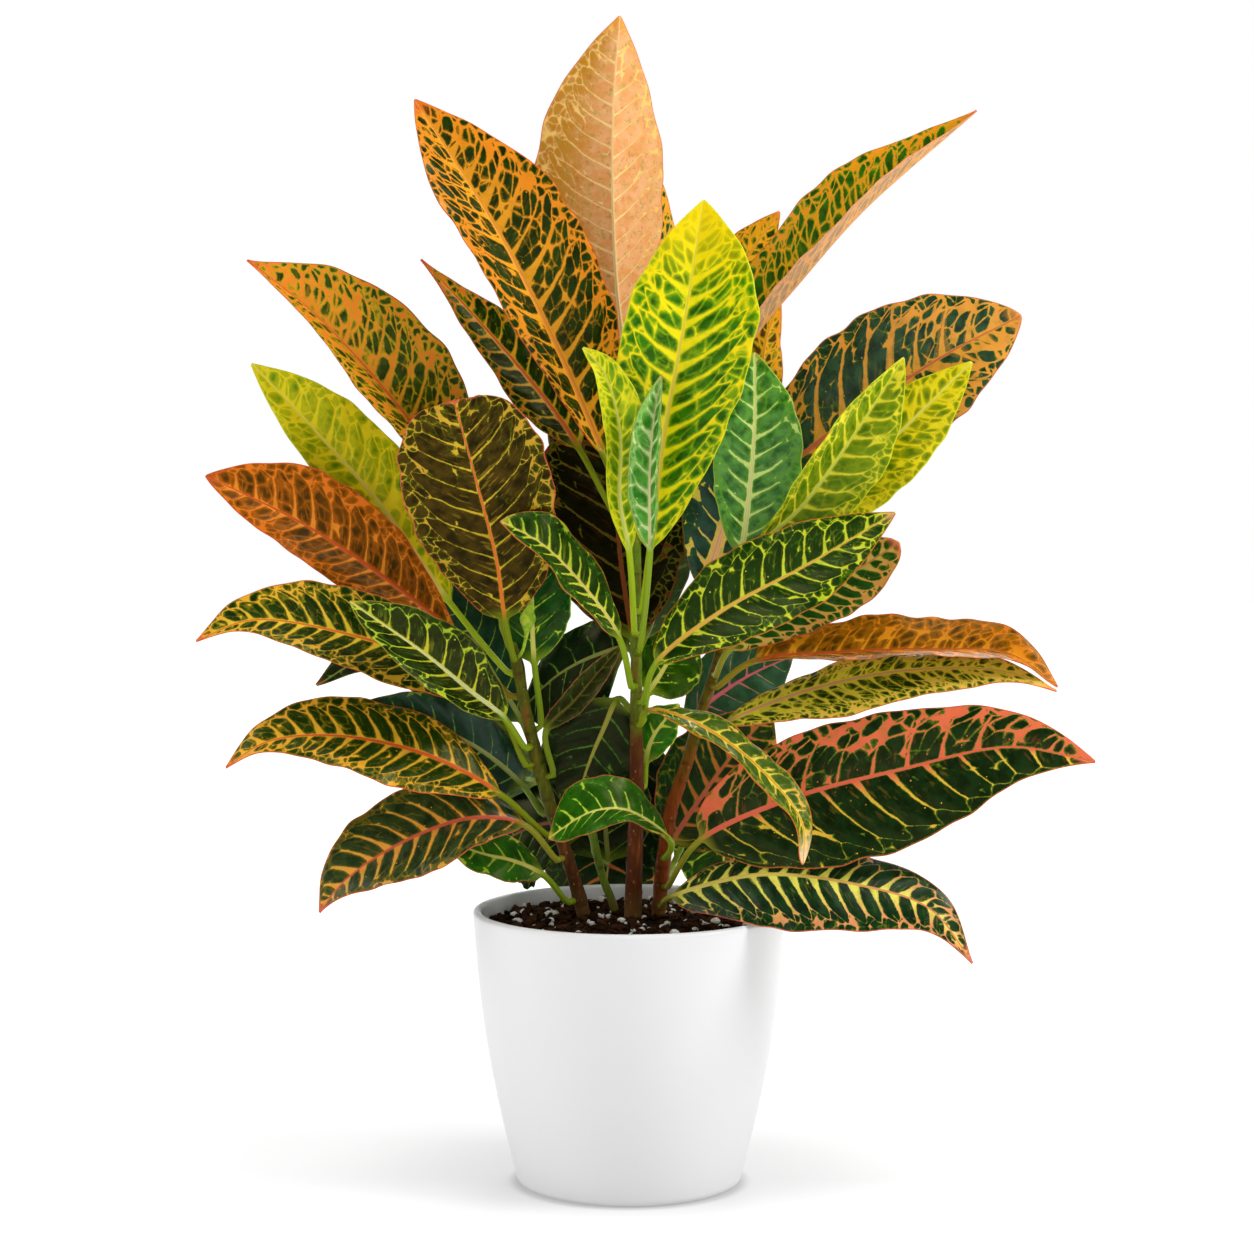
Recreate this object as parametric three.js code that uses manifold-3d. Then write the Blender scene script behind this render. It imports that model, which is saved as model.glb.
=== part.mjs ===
// A potted croton: a white glazed pot filled with soil, three woody stems and a low shoot, and 54 leaves.
// Millimetres, +Z up. The origin is the centre of the pot's flat underside, and -Y is the side seen first.
import * as THREE from 'three';
import { mergeVertices } from 'three/addons/utils/BufferGeometryUtils.js';
import Module from 'manifold-3d';

const wasm = await Module();
wasm.setup();

// ---- driving dimensions ----------------------------------------------------------------------------------
const POT_HEIGHT = 150;
const RIM_RADIUS = 85;
const FOOT_RADIUS = 57;          // flat disc that the pot rests on
const FOOT_CORNER = 5;           // height and reach of the rounded corner above the foot
const SIDE_BULGE = 4;            // how far the wall swells out from a straight taper
const WALL = 4.5;
const FLOOR = 8;
const POT_SIDES = 32;
const WALL_STATIONS = [25, 50, 75, 100, 125];   // heights at which the wall's curve is measured
const SOIL_EDGE_Z = 141;
const SOIL_MOUND = 3;            // the soil's middle stands this much above its edge
const GAP = 0.3;                 // between pieces that touch
const STEM_SIDES = 8;

const BLADE = 0.9;               // thickness of a blade
const RIB = 1.1;                 // how far the midrib stands out below the blade at its base
const STALK = 1.7;               // radius of a petiole
const TIP_HALF = 0.7;            // half width left at the very tip
const SOCKET = 3;                // a petiole leaves its stem square for this far
const LONG_ROWS = 9;             // stations along a large blade
const SHORT_ROWS = 6;
const LARGE = 100;               // a blade longer than this is large
const STALK_ROWS = 2;
const LINE_STEPS = 400;          // measuring steps along a leaf's centre line
const WAVE = 1.6;                // usual height of the waves at a margin
const WAVES = 2.5;               // waves along a margin
const WAVE_SHIFT = 0.3;          // of a wave, between the two margins
const ACROSS = [-1, -0.5, 0, 0.5, 1];   // stations across a blade, left margin to right margin

// ---- colours ---------------------------------------------------------------------------------------------
const FINISH = {
  pot: { color: 0xf3f3f1, roughness: 0.25 },
  soil: { color: 0x2c1c14, roughness: 0.95 },
  bark: { color: 0x6e3f27, roughness: 0.7 },
  shoot: { color: 0x6d8a2b, roughness: 0.5 },
  green: { color: 0x24451c, roughness: 0.35 },
  lime: { color: 0xa8b928, roughness: 0.35 },
  amber: { color: 0xb9741f, roughness: 0.35 },
  blush: { color: 0xd6875a, roughness: 0.45 },
  umber: { color: 0x4a3a17, roughness: 0.35 },
};

// ---- stems: [x, y, z, radius] from the buried end up -----------------------------------------------------
const STEMS = {
  left: [[-21, 12, 116, 3.8], [-25, 10, 145, 3.8], [-33, 6, 175, 3.6], [-42, 2, 203, 3.5],
    [-49, -2, 229, 3.4], [-55, -6, 256, 3], [-60, -8, 281, 2.8], [-63, -10, 296, 2.4]],
  centre: [[1, 3, 116, 4.9], [2, 2, 144, 4.8], [3, 0, 176, 4.5], [4, -2, 209, 4], [4, -4, 242, 3.5],
    [4, -6, 275, 3], [4, -8, 302, 2.7], [4, -4, 345, 2.4], [2, 4, 392, 2.2]],
  right: [[13, 9, 116, 3.9], [16, 10, 145, 3.9], [19, 12, 175, 3.8], [23, 12, 202, 3.7], [32, 14, 229, 3.4],
    [40, 16, 257, 3], [47, 18, 278, 2.8], [52, 20, 300, 2.6], [56, 22, 330, 2.2]],
  low: [[-4, 16, 116, 2.4], [-8, 16, 147, 2.3], [-14, 16, 163, 2.2], [-18, 16, 179, 2.1],
    [-20, 16, 192, 1.9]],
};

// ---- leaves ----------------------------------------------------------------------------------------------
// at: height on the stem where the petiole leaves it.
// rib: the midrib from the blade's base to its tip. left, right: from the midrib to each margin where the
// blade is widest, seen from its upper face with the tip up. widest: how far along that is.
// base, tip: under 1 is a fuller end and over 1 a drawn-out one. wave: height of the waves at the margin.
const LEAVES = {
  leaf_centre_01: { at: 376, finish: 'blush',
    rib: [[2, 30, 415], [-7, 32, 491], [-9, 36, 578], [-5, 38, 634]],
    left: [27, 24, 2], right: [-42, 8, -2], widest: 0.6 },
  leaf_centre_02: { at: 374, finish: 'umber',
    rib: [[-14, 8, 396], [-37, 0, 449], [-69, -6, 513], [-114, -5, 585]],
    left: [-15, -27, -8], right: [36, 4, 18], widest: [0.7, 0.52] },
  leaf_centre_03: { at: 389, finish: 'amber',
    rib: [[20, 42, 425], [17, 62, 470], [16, 74, 515], [11, 80, 562]],
    left: [-22, 8, 2], right: [11, 12, 0], widest: 0.6 },
  leaf_centre_04: { at: 360, finish: 'amber',
    rib: [[36, 18, 410], [68, 16, 461], [92, 8, 490], [125, 0, 527], [185, -5, 579]],
    left: [-18, 8, 20], right: [-5, -28, 5], widest: 0.5, tip: 1.2 },
  leaf_centre_05: { at: 370, finish: 'amber',
    rib: [[39, 38, 415], [53, 44, 464], [64, 48, 501], [83, 52, 529]],
    left: [-16, 4, 8], right: [18, 4, -8] },
  leaf_centre_06: { at: 356, finish: 'green',
    rib: [[-27, 14, 399], [-46, 16, 426], [-70, 14, 455], [-94, 10, 482], [-112, 8, 501]],
    left: [-9, -12, -9], right: [13, 8, 12], widest: 0.3, tip: 1.5 },
  leaf_centre_07: { at: 312, finish: 'lime',
    rib: [[11, -22, 346], [18, -34, 405], [28, -42, 462], [39, -38, 530]],
    left: [-30, -12, 4], right: [38, -8, 4], widest: 0.6, wave: 1 },
  leaf_centre_08: { at: 300, finish: 'lime',
    rib: [[0, -36, 346], [-5, -46, 373], [-5, -53, 410], [-13, -56, 440], [-24, -56, 453]],
    left: [-7, -6, 0], right: [12, -6, 4], widest: 0.6 },
  leaf_centre_09: { at: 290, finish: 'lime',
    rib: [[11, -46, 347], [11, -58, 389], [13, -61, 416], [17, -58, 439]],
    left: [-11, -8, 0], right: [4, -10, 0] },
  leaf_centre_10: { at: 284, finish: 'umber',
    rib: [[2, 12, 295], [-4, 20, 333], [-9, 30, 376], [-21, 38, 416]],
    left: [-45, -9, 4], right: [35, -4, 2], tip: [0.5, 0.8] },
  leaf_centre_11: { at: 272, finish: 'green',
    rib: [[-5, -28, 299], [-26, -44, 330], [-46, -56, 351], [-67, -60, 363]],
    left: [-5, -14, -5], right: [8, 10, 12], widest: [0.35, 0.7], tip: [1, 0.65] },
  leaf_centre_12: { at: 264, finish: 'green',
    rib: [[14, -24, 285], [48, -40, 314], [94, -60, 341], [137, -74, 368]],
    left: [-12, 6, 21], right: [10, -16, -17], widest: 0.5 },
  leaf_centre_13: { at: 252, finish: 'green',
    rib: [[9, -20, 260], [37, -48, 255], [68, -66, 234], [89, -76, 208], [90, -78, 186]],
    left: [5, 8, 6], right: [-3, -10, -3], base: 0.6, tip: 0.7 },
  leaf_centre_14: { at: 268, finish: 'green',
    rib: [[0, 22, 290], [-20, 29, 285], [-41, 33, 273], [-60, 34, 254]],
    left: [6, 3, -38], right: [6, 4, 22], base: [0.55, 0.7] },
  leaf_centre_15: { at: 258, finish: 'green',
    rib: [[-6, 14, 263], [-14, 17, 246], [-22, 18, 227], [-31, 18, 199]],
    left: [26, -2, -8], right: [-25, -2, 10] },
  leaf_centre_16: { at: 252, finish: 'green', rib: [[10, 3, 266], [17, 5, 277], [23, 7, 287], [33, 9, 304]],
    left: [-13, 2, 8], right: [15, -2, -11] },
  leaf_centre_17: { at: 216, finish: 'green', rib: [[9, 4, 228], [12, 2, 241], [18, -1, 251], [27, -5, 262]],
    left: [-7, 2, 5], right: [8, -2, -5] },
  leaf_centre_18: { at: 290, finish: 'green',
    rib: [[15, 45, 321], [-5, 75, 381], [-22, 100, 437], [-31, 115, 488]],
    left: [-30, 0, -8], right: [30, 0, 8] },
  leaf_centre_19: { at: 262, finish: 'green',
    rib: [[7, 45, 290], [6, 75, 335], [12, 100, 368], [15, 115, 402]],
    left: [32, 4, 0], right: [-32, 4, 0] },
  leaf_centre_20: { at: 206, finish: 'green',
    rib: [[6, 50, 236], [0, 72, 218], [-9, 90, 186], [-14, 98, 134]],
    left: [34, -2, 4], right: [-38, 2, 2], widest: 0.72, tip: 0.4, base: 0.7 },

  leaf_left_01: { at: 288, finish: 'umber',
    rib: [[-66, -22, 308], [-70, -34, 341], [-80, -48, 384], [-91, -56, 426]],
    left: [-37, -6, -8], right: [37, -4, 9], widest: 0.64, base: 0.75, tip: 0.33, wave: 1 },
  leaf_left_02: { at: 290, finish: 'amber',
    rib: [[-82, 4, 350], [-110, 4, 402], [-164, -16, 468], [-201, -30, 499]],
    left: [-6, -24, -5], right: [28, 6, 26], widest: [0.45, 0.55], tip: [1.6, 1.2] },
  leaf_left_03: { at: 278, finish: 'lime',
    rib: [[-98, 22, 315], [-136, 20, 369], [-172, 12, 411], [-203, 2, 445]],
    left: [-10, -8, -11], right: [19, 4, 18], widest: 0.55 },
  leaf_left_04: { at: 266, finish: 'amber',
    rib: [[-94, 6, 298], [-133, -4, 331], [-174, -20, 360], [-223, -36, 386]],
    left: [-8, -14, -13], right: [16, 2, 24], widest: [0.5, 0.62], base: 1.1, tip: 0.9 },
  leaf_left_06: { at: 247, finish: 'green',
    rib: [[-51, -3, 283], [-52, -1, 302], [-52, -1, 324], [-51, 3, 350]],
    left: [-18, 4, 0], right: [20, -4, 2], widest: 0.45, tip: 0.8 },
  leaf_left_07: { at: 240, finish: 'green',
    rib: [[-66, -20, 255], [-85, -34, 272], [-108, -48, 293], [-146, -56, 321]],
    left: [-7, -20, -7], right: [14, 2, 15], widest: 0.5 },
  leaf_left_08: { at: 236, finish: 'green',
    rib: [[-58, 12, 250], [-73, 20, 274], [-91, 27, 304], [-122, 30, 339]],
    left: [-14, -2, -12], right: [16, 8, 13], widest: 0.5 },
  leaf_left_09: { at: 230, finish: 'green',
    rib: [[-69, -12, 258], [-101, -22, 283], [-153, -36, 303], [-199, -44, 310], [-228, -42, 299]],
    left: [-2, -24, -15], right: [2, 4, 24], widest: [0.42, 0.5], tip: [1.8, 1.1] },
  leaf_left_10: { at: 226, finish: 'green',
    rib: [[-67, 10, 246], [-102, 7, 269], [-140, 3, 286], [-169, -2, 272]],
    left: [-2, 0, -8], right: [2, -2, 13] },
  leaf_left_11: { at: 222, finish: 'green',
    rib: [[-45, -8, 247], [-29, -14, 265], [-16, -18, 281], [-4, -20, 295]],
    left: [-6, -6, 3], right: [5, -8, -3], wave: 0.5 },
  leaf_left_12: { at: 202, finish: 'green',
    rib: [[-57, 8, 215], [-80, 1, 236], [-108, -4, 251], [-144, -10, 263]],
    left: [-8, -12, -27], right: [8, 0, 16], widest: [0.35, 0.5] },
  leaf_left_13: { at: 192, finish: 'green',
    rib: [[-69, -20, 215], [-106, -34, 237], [-152, -46, 249], [-189, -52, 247], [-212, -50, 233]],
    left: [-3, -20, -17], right: [3, 14, 19], widest: [0.36, 0.5], tip: [1.9, 1] },
  leaf_left_14: { at: 178, finish: 'green',
    rib: [[-56, -12, 197], [-85, -23, 202], [-122, -34, 190], [-150, -42, 172], [-164, -44, 155]],
    left: [9, -20, -15], right: [-12, 10, 21], widest: 0.5, tip: [1.7, 1] },
  leaf_left_15: { at: 154, finish: 'green',
    rib: [[-46, -2, 168], [-62, -4, 176], [-81, -6, 181], [-102, -8, 190]],
    left: [2, -8, -10], right: [-2, 8, 12] },
  leaf_left_16: { at: 284, finish: 'green',
    rib: [[-66, 40, 315], [-76, 66, 352], [-82, 88, 392], [-86, 102, 428]],
    left: [32, 4, 6], right: [-29, 8, -6], widest: 0.6, tip: 0.6 },
  leaf_left_17: { at: 212, finish: 'green',
    rib: [[-50, 38, 214], [-79, 75, 214], [-114, 100, 219], [-144, 115, 226]],
    left: [16, 14, 14], right: [-14, -10, -18] },

  leaf_right_01: { at: 322, finish: 'green',
    rib: [[77, 25, 378], [104, 24, 403], [168, 14, 448], [211, 5, 471]],
    left: [-24, 6, 34], right: [19, -10, -28], widest: 0.5, tip: 0.8 },
  leaf_right_02: { at: 326, finish: 'amber',
    rib: [[58, 28, 380], [72, 34, 436], [75, 36, 458], [83, 40, 480]],
    left: [-11, 2, 3], right: [11, 4, -3] },
  leaf_right_03: { at: 324, finish: 'green',
    rib: [[60, -6, 342], [65, -12, 383], [67, -14, 415], [67, -10, 451]],
    left: [-20, -4, 2], right: [25, -8, -2] },
  leaf_right_04: { at: 306, finish: 'lime',
    rib: [[70, -20, 349], [91, -30, 370], [121, -44, 413], [143, -50, 448]],
    left: [-10, -16, 7], right: [18, -8, -14] },
  leaf_right_05: { at: 314, finish: 'lime',
    rib: [[87, 0, 348], [116, -6, 380], [147, -14, 411], [182, -18, 446]],
    left: [-14, 4, 14], right: [15, -4, -15] },
  leaf_right_06: { at: 304, finish: 'green', rib: [[42, 6, 323], [48, 6, 347], [55, 6, 372], [63, 8, 415]],
    left: [-22, 0, 5], right: [20, 6, -4] },
  leaf_right_07: { at: 276, finish: 'green',
    rib: [[54, -2, 291], [84, -8, 313], [117, -15, 332], [144, -20, 350]],
    left: [-9, 6, 14], right: [8, -6, -15], widest: 0.6, tip: 0.6 },
  leaf_right_08: { at: 270, finish: 'amber',
    rib: [[66, -8, 285], [108, -16, 290], [165, -26, 293], [202, -32, 291], [227, -34, 274]],
    left: [0, 12, 17], right: [0, -26, -1], base: 0.6, tip: [0.85, 0.7] },
  leaf_right_09: { at: 244, finish: 'green',
    rib: [[52, -6, 252], [92, -16, 269], [144, -32, 282], [197, -43, 283], [225, -46, 273]],
    left: [-2, 14, 8.5], right: [2, -20, -14], widest: [0.45, 0.38], tip: [1, 1.6] },
  leaf_right_10: { at: 160, finish: 'green',
    rib: [[38, -26, 191], [85, -40, 215], [142, -52, 232], [199, -60, 245], [244, -58, 237]],
    left: [-12, 8, 28], right: [9, -14, -38], widest: [0.43, 0.38], base: [0.55, 0.7], tip: [0.9, 1.3] },
  leaf_right_11: { at: 150, finish: 'green',
    rib: [[23, -22, 160], [69, -44, 175], [121, -60, 172], [157, -70, 161], [179, -72, 133]],
    left: [2, 14, 14], right: [-3, -16, -25], widest: [0.5, 0.4], tip: [1, 1.5] },
  leaf_right_12: { at: 176, finish: 'green',
    rib: [[21, -40, 194], [-2, -56, 211], [-20, -64, 211], [-42, -68, 198]],
    left: [-1, -16, -9], right: [0, 8, 18], widest: [0.6, 0.7], base: [0.85, 1.4] },
  leaf_right_13: { at: 172, finish: 'green',
    rib: [[23, 24, 181], [40, 30, 207], [59, 34, 232], [79, 36, 254]],
    left: [-24, 2, 16], right: [26, -2, -22], base: [0.8, 0.6] },
  leaf_right_14: { at: 250, finish: 'green',
    rib: [[31, 40, 247], [48, 50, 260], [68, 58, 272], [92, 66, 282]],
    left: [-12, 6, 20], right: [16, -4, -22], widest: [0.55, 0.4], base: [1.2, 0.6] },
  leaf_right_15: { at: 296, finish: 'green',
    rib: [[51, 50, 315], [74, 75, 358], [109, 95, 397], [149, 100, 425]],
    left: [-18, 6, 20], right: [18, -4, -20] },
  leaf_right_16: { at: 165, finish: 'green',
    rib: [[34, 50, 184], [50, 88, 194], [54, 110, 174], [56, 117, 136]],
    left: [28, 0, 6], right: [-28, 4, 2], widest: 0.72, tip: 0.4, base: 1.4 },

  leaf_low_01: { at: 172, finish: 'green',
    rib: [[-12, 36, 170], [-13, 42, 190], [-11, 46, 212], [-6, 48, 236]],
    left: [-26, 2, 2], right: [25, 2, -2], widest: 0.4, base: 0.5 },
  leaf_low_02: { at: 178, finish: 'green',
    rib: [[-22, 26, 188], [-40, 34, 192], [-60, 42, 186], [-80, 48, 170]],
    left: [-4, -4, -33], right: [6, 6, 26], widest: 0.45, base: 0.6 },
};

// ---- solids ----------------------------------------------------------------------------------------------
const vec = (a) => new THREE.Vector3(a[0], a[1], a[2]);

function closedMesh(points, triangles) {
  const geometry = new THREE.BufferGeometry();
  const coordinates = points.flatMap((p) => [p.x, p.y, p.z]);
  geometry.setAttribute('position', new THREE.Float32BufferAttribute(coordinates, 3));
  geometry.setIndex(triangles);
  return geometry;
}

// A skin over equal rings of points, with both ends closed. The split of each quad is told by slant(j).
function loft(rings, slant = () => true) {
  const n = rings[0].length;
  const triangles = [];
  for (let i = 0; i < rings.length - 1; i += 1) {
    for (let j = 0; j < n; j += 1) {
      const a = i * n + j;
      const b = i * n + ((j + 1) % n);
      const c = a + n;
      const d = b + n;
      if (slant(j)) triangles.push(a, b, d, a, d, c);
      else triangles.push(a, b, c, b, d, c);
    }
  }
  const last = (rings.length - 1) * n;
  for (let j = 1; j < n - 1; j += 1) {
    triangles.push(0, j + 1, j);
    triangles.push(last, last + j, last + j + 1);
  }
  return closedMesh(rings.flat(), triangles);
}

function toSolid(geometry) {
  const bare = geometry.clone();
  bare.deleteAttribute('normal');
  bare.deleteAttribute('uv');
  const merged = mergeVertices(bare, 1e-4);
  return new wasm.Manifold(new wasm.Mesh({
    numProp: 3,
    vertProperties: new Float32Array(merged.attributes.position.array),
    triVerts: new Uint32Array(merged.index.array),
  }));
}

function toGeometry(solid) {
  const mesh = solid.getMesh();
  const geometry = new THREE.BufferGeometry();
  geometry.setAttribute('position', new THREE.BufferAttribute(new Float32Array(mesh.vertProperties), 3));
  geometry.setIndex(new THREE.BufferAttribute(new Uint32Array(mesh.triVerts), 1));
  return geometry;
}

// ---- pot and soil ----------------------------------------------------------------------------------------
// The outer wall's radius at a height above the rounded foot.
function potRadius(z) {
  const foot = FOOT_RADIUS + FOOT_CORNER;
  const share = (z - FOOT_CORNER) / (POT_HEIGHT - FOOT_CORNER);
  return foot + (RIM_RADIUS - foot) * share + SIDE_BULGE * Math.sin(Math.PI * share);
}

function turned(profile) {
  const geometry = new THREE.LatheGeometry(profile.map(([r, z]) => new THREE.Vector2(r, z)), POT_SIDES);
  return geometry.rotateX(Math.PI / 2);
}

function potGeometry() {
  const profile = [[0, 0]];
  for (let k = 0; k <= 3; k += 1) {
    const angle = (k / 3) * (Math.PI / 2);
    profile.push([FOOT_RADIUS + FOOT_CORNER * Math.sin(angle), FOOT_CORNER * (1 - Math.cos(angle))]);
  }
  const lip = WALL / 2;
  for (const z of [...WALL_STATIONS, POT_HEIGHT - lip]) profile.push([potRadius(z), z]);
  const middle = potRadius(POT_HEIGHT - lip) - lip;
  for (const angle of [45, 90, 135]) {
    const turn = THREE.MathUtils.degToRad(angle);
    profile.push([middle + lip * Math.cos(turn), POT_HEIGHT - lip + lip * Math.sin(turn)]);
  }
  for (const z of [POT_HEIGHT - lip, ...WALL_STATIONS.toReversed(), FLOOR]) {
    profile.push([potRadius(z) - WALL, z]);
  }
  profile.push([0, FLOOR]);
  return turned(profile);
}

function soilGeometry(stems) {
  const profile = [[0, FLOOR + GAP]];
  for (const z of [FLOOR + GAP, ...WALL_STATIONS, SOIL_EDGE_Z]) {
    profile.push([potRadius(z) - WALL - GAP * 2, z]);
  }
  for (const share of [0.66, 0.33, 0]) {
    profile.push([share * potRadius(SOIL_EDGE_Z), SOIL_EDGE_Z + SOIL_MOUND * (1 - share * share)]);
  }
  return toGeometry(stems.reduce((soil, hole) => soil.subtract(hole), toSolid(turned(profile))));
}

// ---- stems -----------------------------------------------------------------------------------------------
function stemCurve(name) {
  return new THREE.CatmullRomCurve3(STEMS[name].map(vec));
}

function stemRadius(name, u) {
  const radii = STEMS[name].map((p) => p[3]);
  const place = u * (radii.length - 1);
  const k = Math.min(Math.floor(place), radii.length - 2);
  return radii[k] + (radii[k + 1] - radii[k]) * (place - k);
}

// Rings along a stem, grown by extra on every side and below its buried end.
function stemRings(name, extra) {
  const curve = stemCurve(name);
  const steps = (STEMS[name].length - 1) * 2;
  const rings = [];
  for (let i = 0; i <= steps; i += 1) {
    const u = i / steps;
    const centre = curve.getPoint(u);
    const tangent = curve.getTangent(u);
    if (i === 0) centre.addScaledVector(tangent, -extra);
    const side = new THREE.Vector3(1, 0, 0).cross(tangent).normalize();
    const front = tangent.clone().cross(side);
    const radius = stemRadius(name, u) + extra;
    const ring = [];
    for (let j = 0; j < STEM_SIDES; j += 1) {
      const turn = (j / STEM_SIDES) * Math.PI * 2;
      ring.push(centre.clone().addScaledVector(side, radius * Math.cos(turn))
        .addScaledVector(front, radius * Math.sin(turn)));
    }
    rings.push(ring);
  }
  return rings;
}

// Where a stem's centre line passes a height.
function stemAt(name, z) {
  const curve = stemCurve(name);
  let low = 0;
  let high = 1;
  for (let i = 0; i < 30; i += 1) {
    const middle = (low + high) / 2;
    if (curve.getPoint(middle).z < z) low = middle;
    else high = middle;
  }
  return { point: curve.getPoint(low), tangent: curve.getTangent(low), radius: stemRadius(name, low) };
}

// ---- leaves ----------------------------------------------------------------------------------------------
// One number for both halves of a blade, or a pair: left, right.
const ofHalf = (value, side) => (Array.isArray(value) ? value[side] : value);

// A half blade's width as a share of its widest, at a share t of its length. side: 0 left, 1 right.
function outline(t, leaf, side) {
  const widest = ofHalf(leaf.widest ?? 0.5, side);
  if (t < widest) return Math.max(0, 1 - (1 - t / widest) ** 2) ** ofHalf(leaf.base ?? 0.85, side);
  return Math.max(0, 1 - ((t - widest) / (1 - widest)) ** 2) ** ofHalf(leaf.tip ?? 1, side);
}

// The leaf's centre line runs from the stem's surface through the petiole and the blade to the tip.
// Returns the line and the share of its length at which the blade begins.
function leafLine(name) {
  const stem = stemAt(name.split('_')[1], LEAVES[name].at);
  const rib = LEAVES[name].rib.map(vec);
  const out = rib[0].clone().sub(stem.point);
  out.addScaledVector(stem.tangent, -out.dot(stem.tangent)).normalize();
  const start = stem.point.clone().addScaledVector(out, stem.radius + GAP);
  const elbow = start.clone().addScaledVector(out, SOCKET);
  const line = new THREE.CatmullRomCurve3([start, elbow, ...rib]);
  const lengths = line.getLengths(LINE_STEPS);
  const bladeStep = Math.round((2 / (rib.length + 1)) * LINE_STEPS);
  return { line, bladeShare: lengths[bladeStep] / lengths[LINE_STEPS], length: lengths[LINE_STEPS] };
}

// One ring of points round a petiole or a blade: the upper face from left to right, then the lower face back.
function stalkRing(centre, sideways, up) {
  const count = ACROSS.length * 2;
  return Array.from({ length: count }, (_, k) => {
    const angle = Math.PI * (1 - (2 * k + 1) / count);
    return centre.clone().addScaledVector(sideways, STALK * Math.cos(angle))
      .addScaledVector(up, STALK * Math.sin(angle));
  });
}

function bladeRing(leaf, t, centre, halves, up) {
  const middle = ACROSS.map((s) => {
    const side = s < 0 ? 0 : 1;
    const share = outline(t, leaf, side);
    const span = halves[side].length() * share + THREE.MathUtils.lerp(STALK, TIP_HALF, t);
    const swing = Math.sin((t * WAVES + (1 - side) * WAVE_SHIFT) * 2 * Math.PI + leaf.at);
    return centre.clone().addScaledVector(halves[side].clone().normalize(), span * Math.abs(s))
      .addScaledVector(up, (leaf.wave ?? WAVE) * share * s * s * swing);
  });
  const lower = middle.map((p, k) => {
    const keel = ACROSS[k] === 0 ? RIB * (1 - t) : 0;
    return p.clone().addScaledVector(up, -BLADE / 2 - keel);
  });
  return [...middle.map((p) => p.addScaledVector(up, BLADE / 2)), ...lower.reverse()];
}

function leafGeometry(name) {
  const leaf = LEAVES[name];
  const { line, bladeShare, length } = leafLine(name);
  const widest = bladeShare + (1 - bladeShare) * ofHalf(leaf.widest ?? 0.5, 1);
  const widestTangent = line.getTangentAt(widest);
  const rows = length * (1 - bladeShare) > LARGE ? LONG_ROWS : SHORT_ROWS;
  const rings = [];
  for (let i = 0; i <= STALK_ROWS + rows; i += 1) {
    const onBlade = i >= STALK_ROWS;
    const t = onBlade ? (i - STALK_ROWS) / rows : 0;
    const share = onBlade ? bladeShare + (1 - bladeShare) * t : bladeShare * (i / STALK_ROWS);
    const centre = line.getPointAt(share);
    const tangent = line.getTangentAt(share);
    const turn = new THREE.Quaternion().setFromUnitVectors(widestTangent, tangent);
    const halves = [leaf.left, leaf.right].map((half) => vec(half).applyQuaternion(turn));
    const up = tangent.clone().cross(halves[0]).normalize()
      .add(halves[1].clone().cross(tangent).normalize()).normalize();
    if (onBlade) rings.push(bladeRing(leaf, t, centre, halves, up));
    else rings.push(stalkRing(centre, tangent.clone().cross(up), up));
  }
  return loft(rings, (j) => j < ACROSS.length);
}

// ---- assembly --------------------------------------------------------------------------------------------
const group = new THREE.Group();

function place(name, geometry, finish) {
  geometry.computeVertexNormals();
  const material = new THREE.MeshStandardMaterial({ ...FINISH[finish], metalness: 0, flatShading: true });
  const mesh = new THREE.Mesh(geometry, material);
  mesh.name = name;
  group.add(mesh);
}

place('pot', potGeometry(), 'pot');
place('soil', soilGeometry(Object.keys(STEMS).map((name) => toSolid(loft(stemRings(name, GAP))))), 'soil');
for (const name of Object.keys(STEMS)) {
  const woody = name !== 'low';
  place(woody ? `stem_${name}` : 'shoot_low', loft(stemRings(name, 0)), woody ? 'bark' : 'shoot');
}
for (const name of Object.keys(LEAVES)) place(name, leafGeometry(name), LEAVES[name].finish);

export default group;
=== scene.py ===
"""Potted croton: a white glazed pot of soil, woody stems and 54 veined leaves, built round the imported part.

Sizes in the tables are millimetres in the part's own frame: +Z up, the origin at the middle of the pot's flat
underside. Every mesh is in metres, and every finished object sits at the origin with its place in its mesh.
"""

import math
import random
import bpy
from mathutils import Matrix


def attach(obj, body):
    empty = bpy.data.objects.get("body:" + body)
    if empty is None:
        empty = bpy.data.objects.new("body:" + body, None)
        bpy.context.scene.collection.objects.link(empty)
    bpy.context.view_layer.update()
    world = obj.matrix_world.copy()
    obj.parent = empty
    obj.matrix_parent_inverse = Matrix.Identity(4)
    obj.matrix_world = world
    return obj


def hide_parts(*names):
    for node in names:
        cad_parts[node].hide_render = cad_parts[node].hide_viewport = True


bl_info = {
    "name": "Potted croton",
    "version": (1, 0, 0),
    "blender": (4, 5, 0),
    "location": "View3D > Sidebar > Croton",
    "description": "Builds a potted croton with vein-patterned leaves",
    "category": "Add Mesh",
}

import bpy
import numpy as np
from mathutils import Matrix, Vector, noise

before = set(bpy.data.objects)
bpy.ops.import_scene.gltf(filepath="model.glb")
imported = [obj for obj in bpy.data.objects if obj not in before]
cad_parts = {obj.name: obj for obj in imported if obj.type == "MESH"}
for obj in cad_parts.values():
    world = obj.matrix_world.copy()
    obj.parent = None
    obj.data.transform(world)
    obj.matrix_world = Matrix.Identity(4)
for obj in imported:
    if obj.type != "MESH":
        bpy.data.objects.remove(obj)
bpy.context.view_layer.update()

MM = 0.001
SEAM = 2e-6           # points closer than this are merged, in metres

# ---- the plant's skeleton, as in the part ------------------------------------------------------------------

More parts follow.
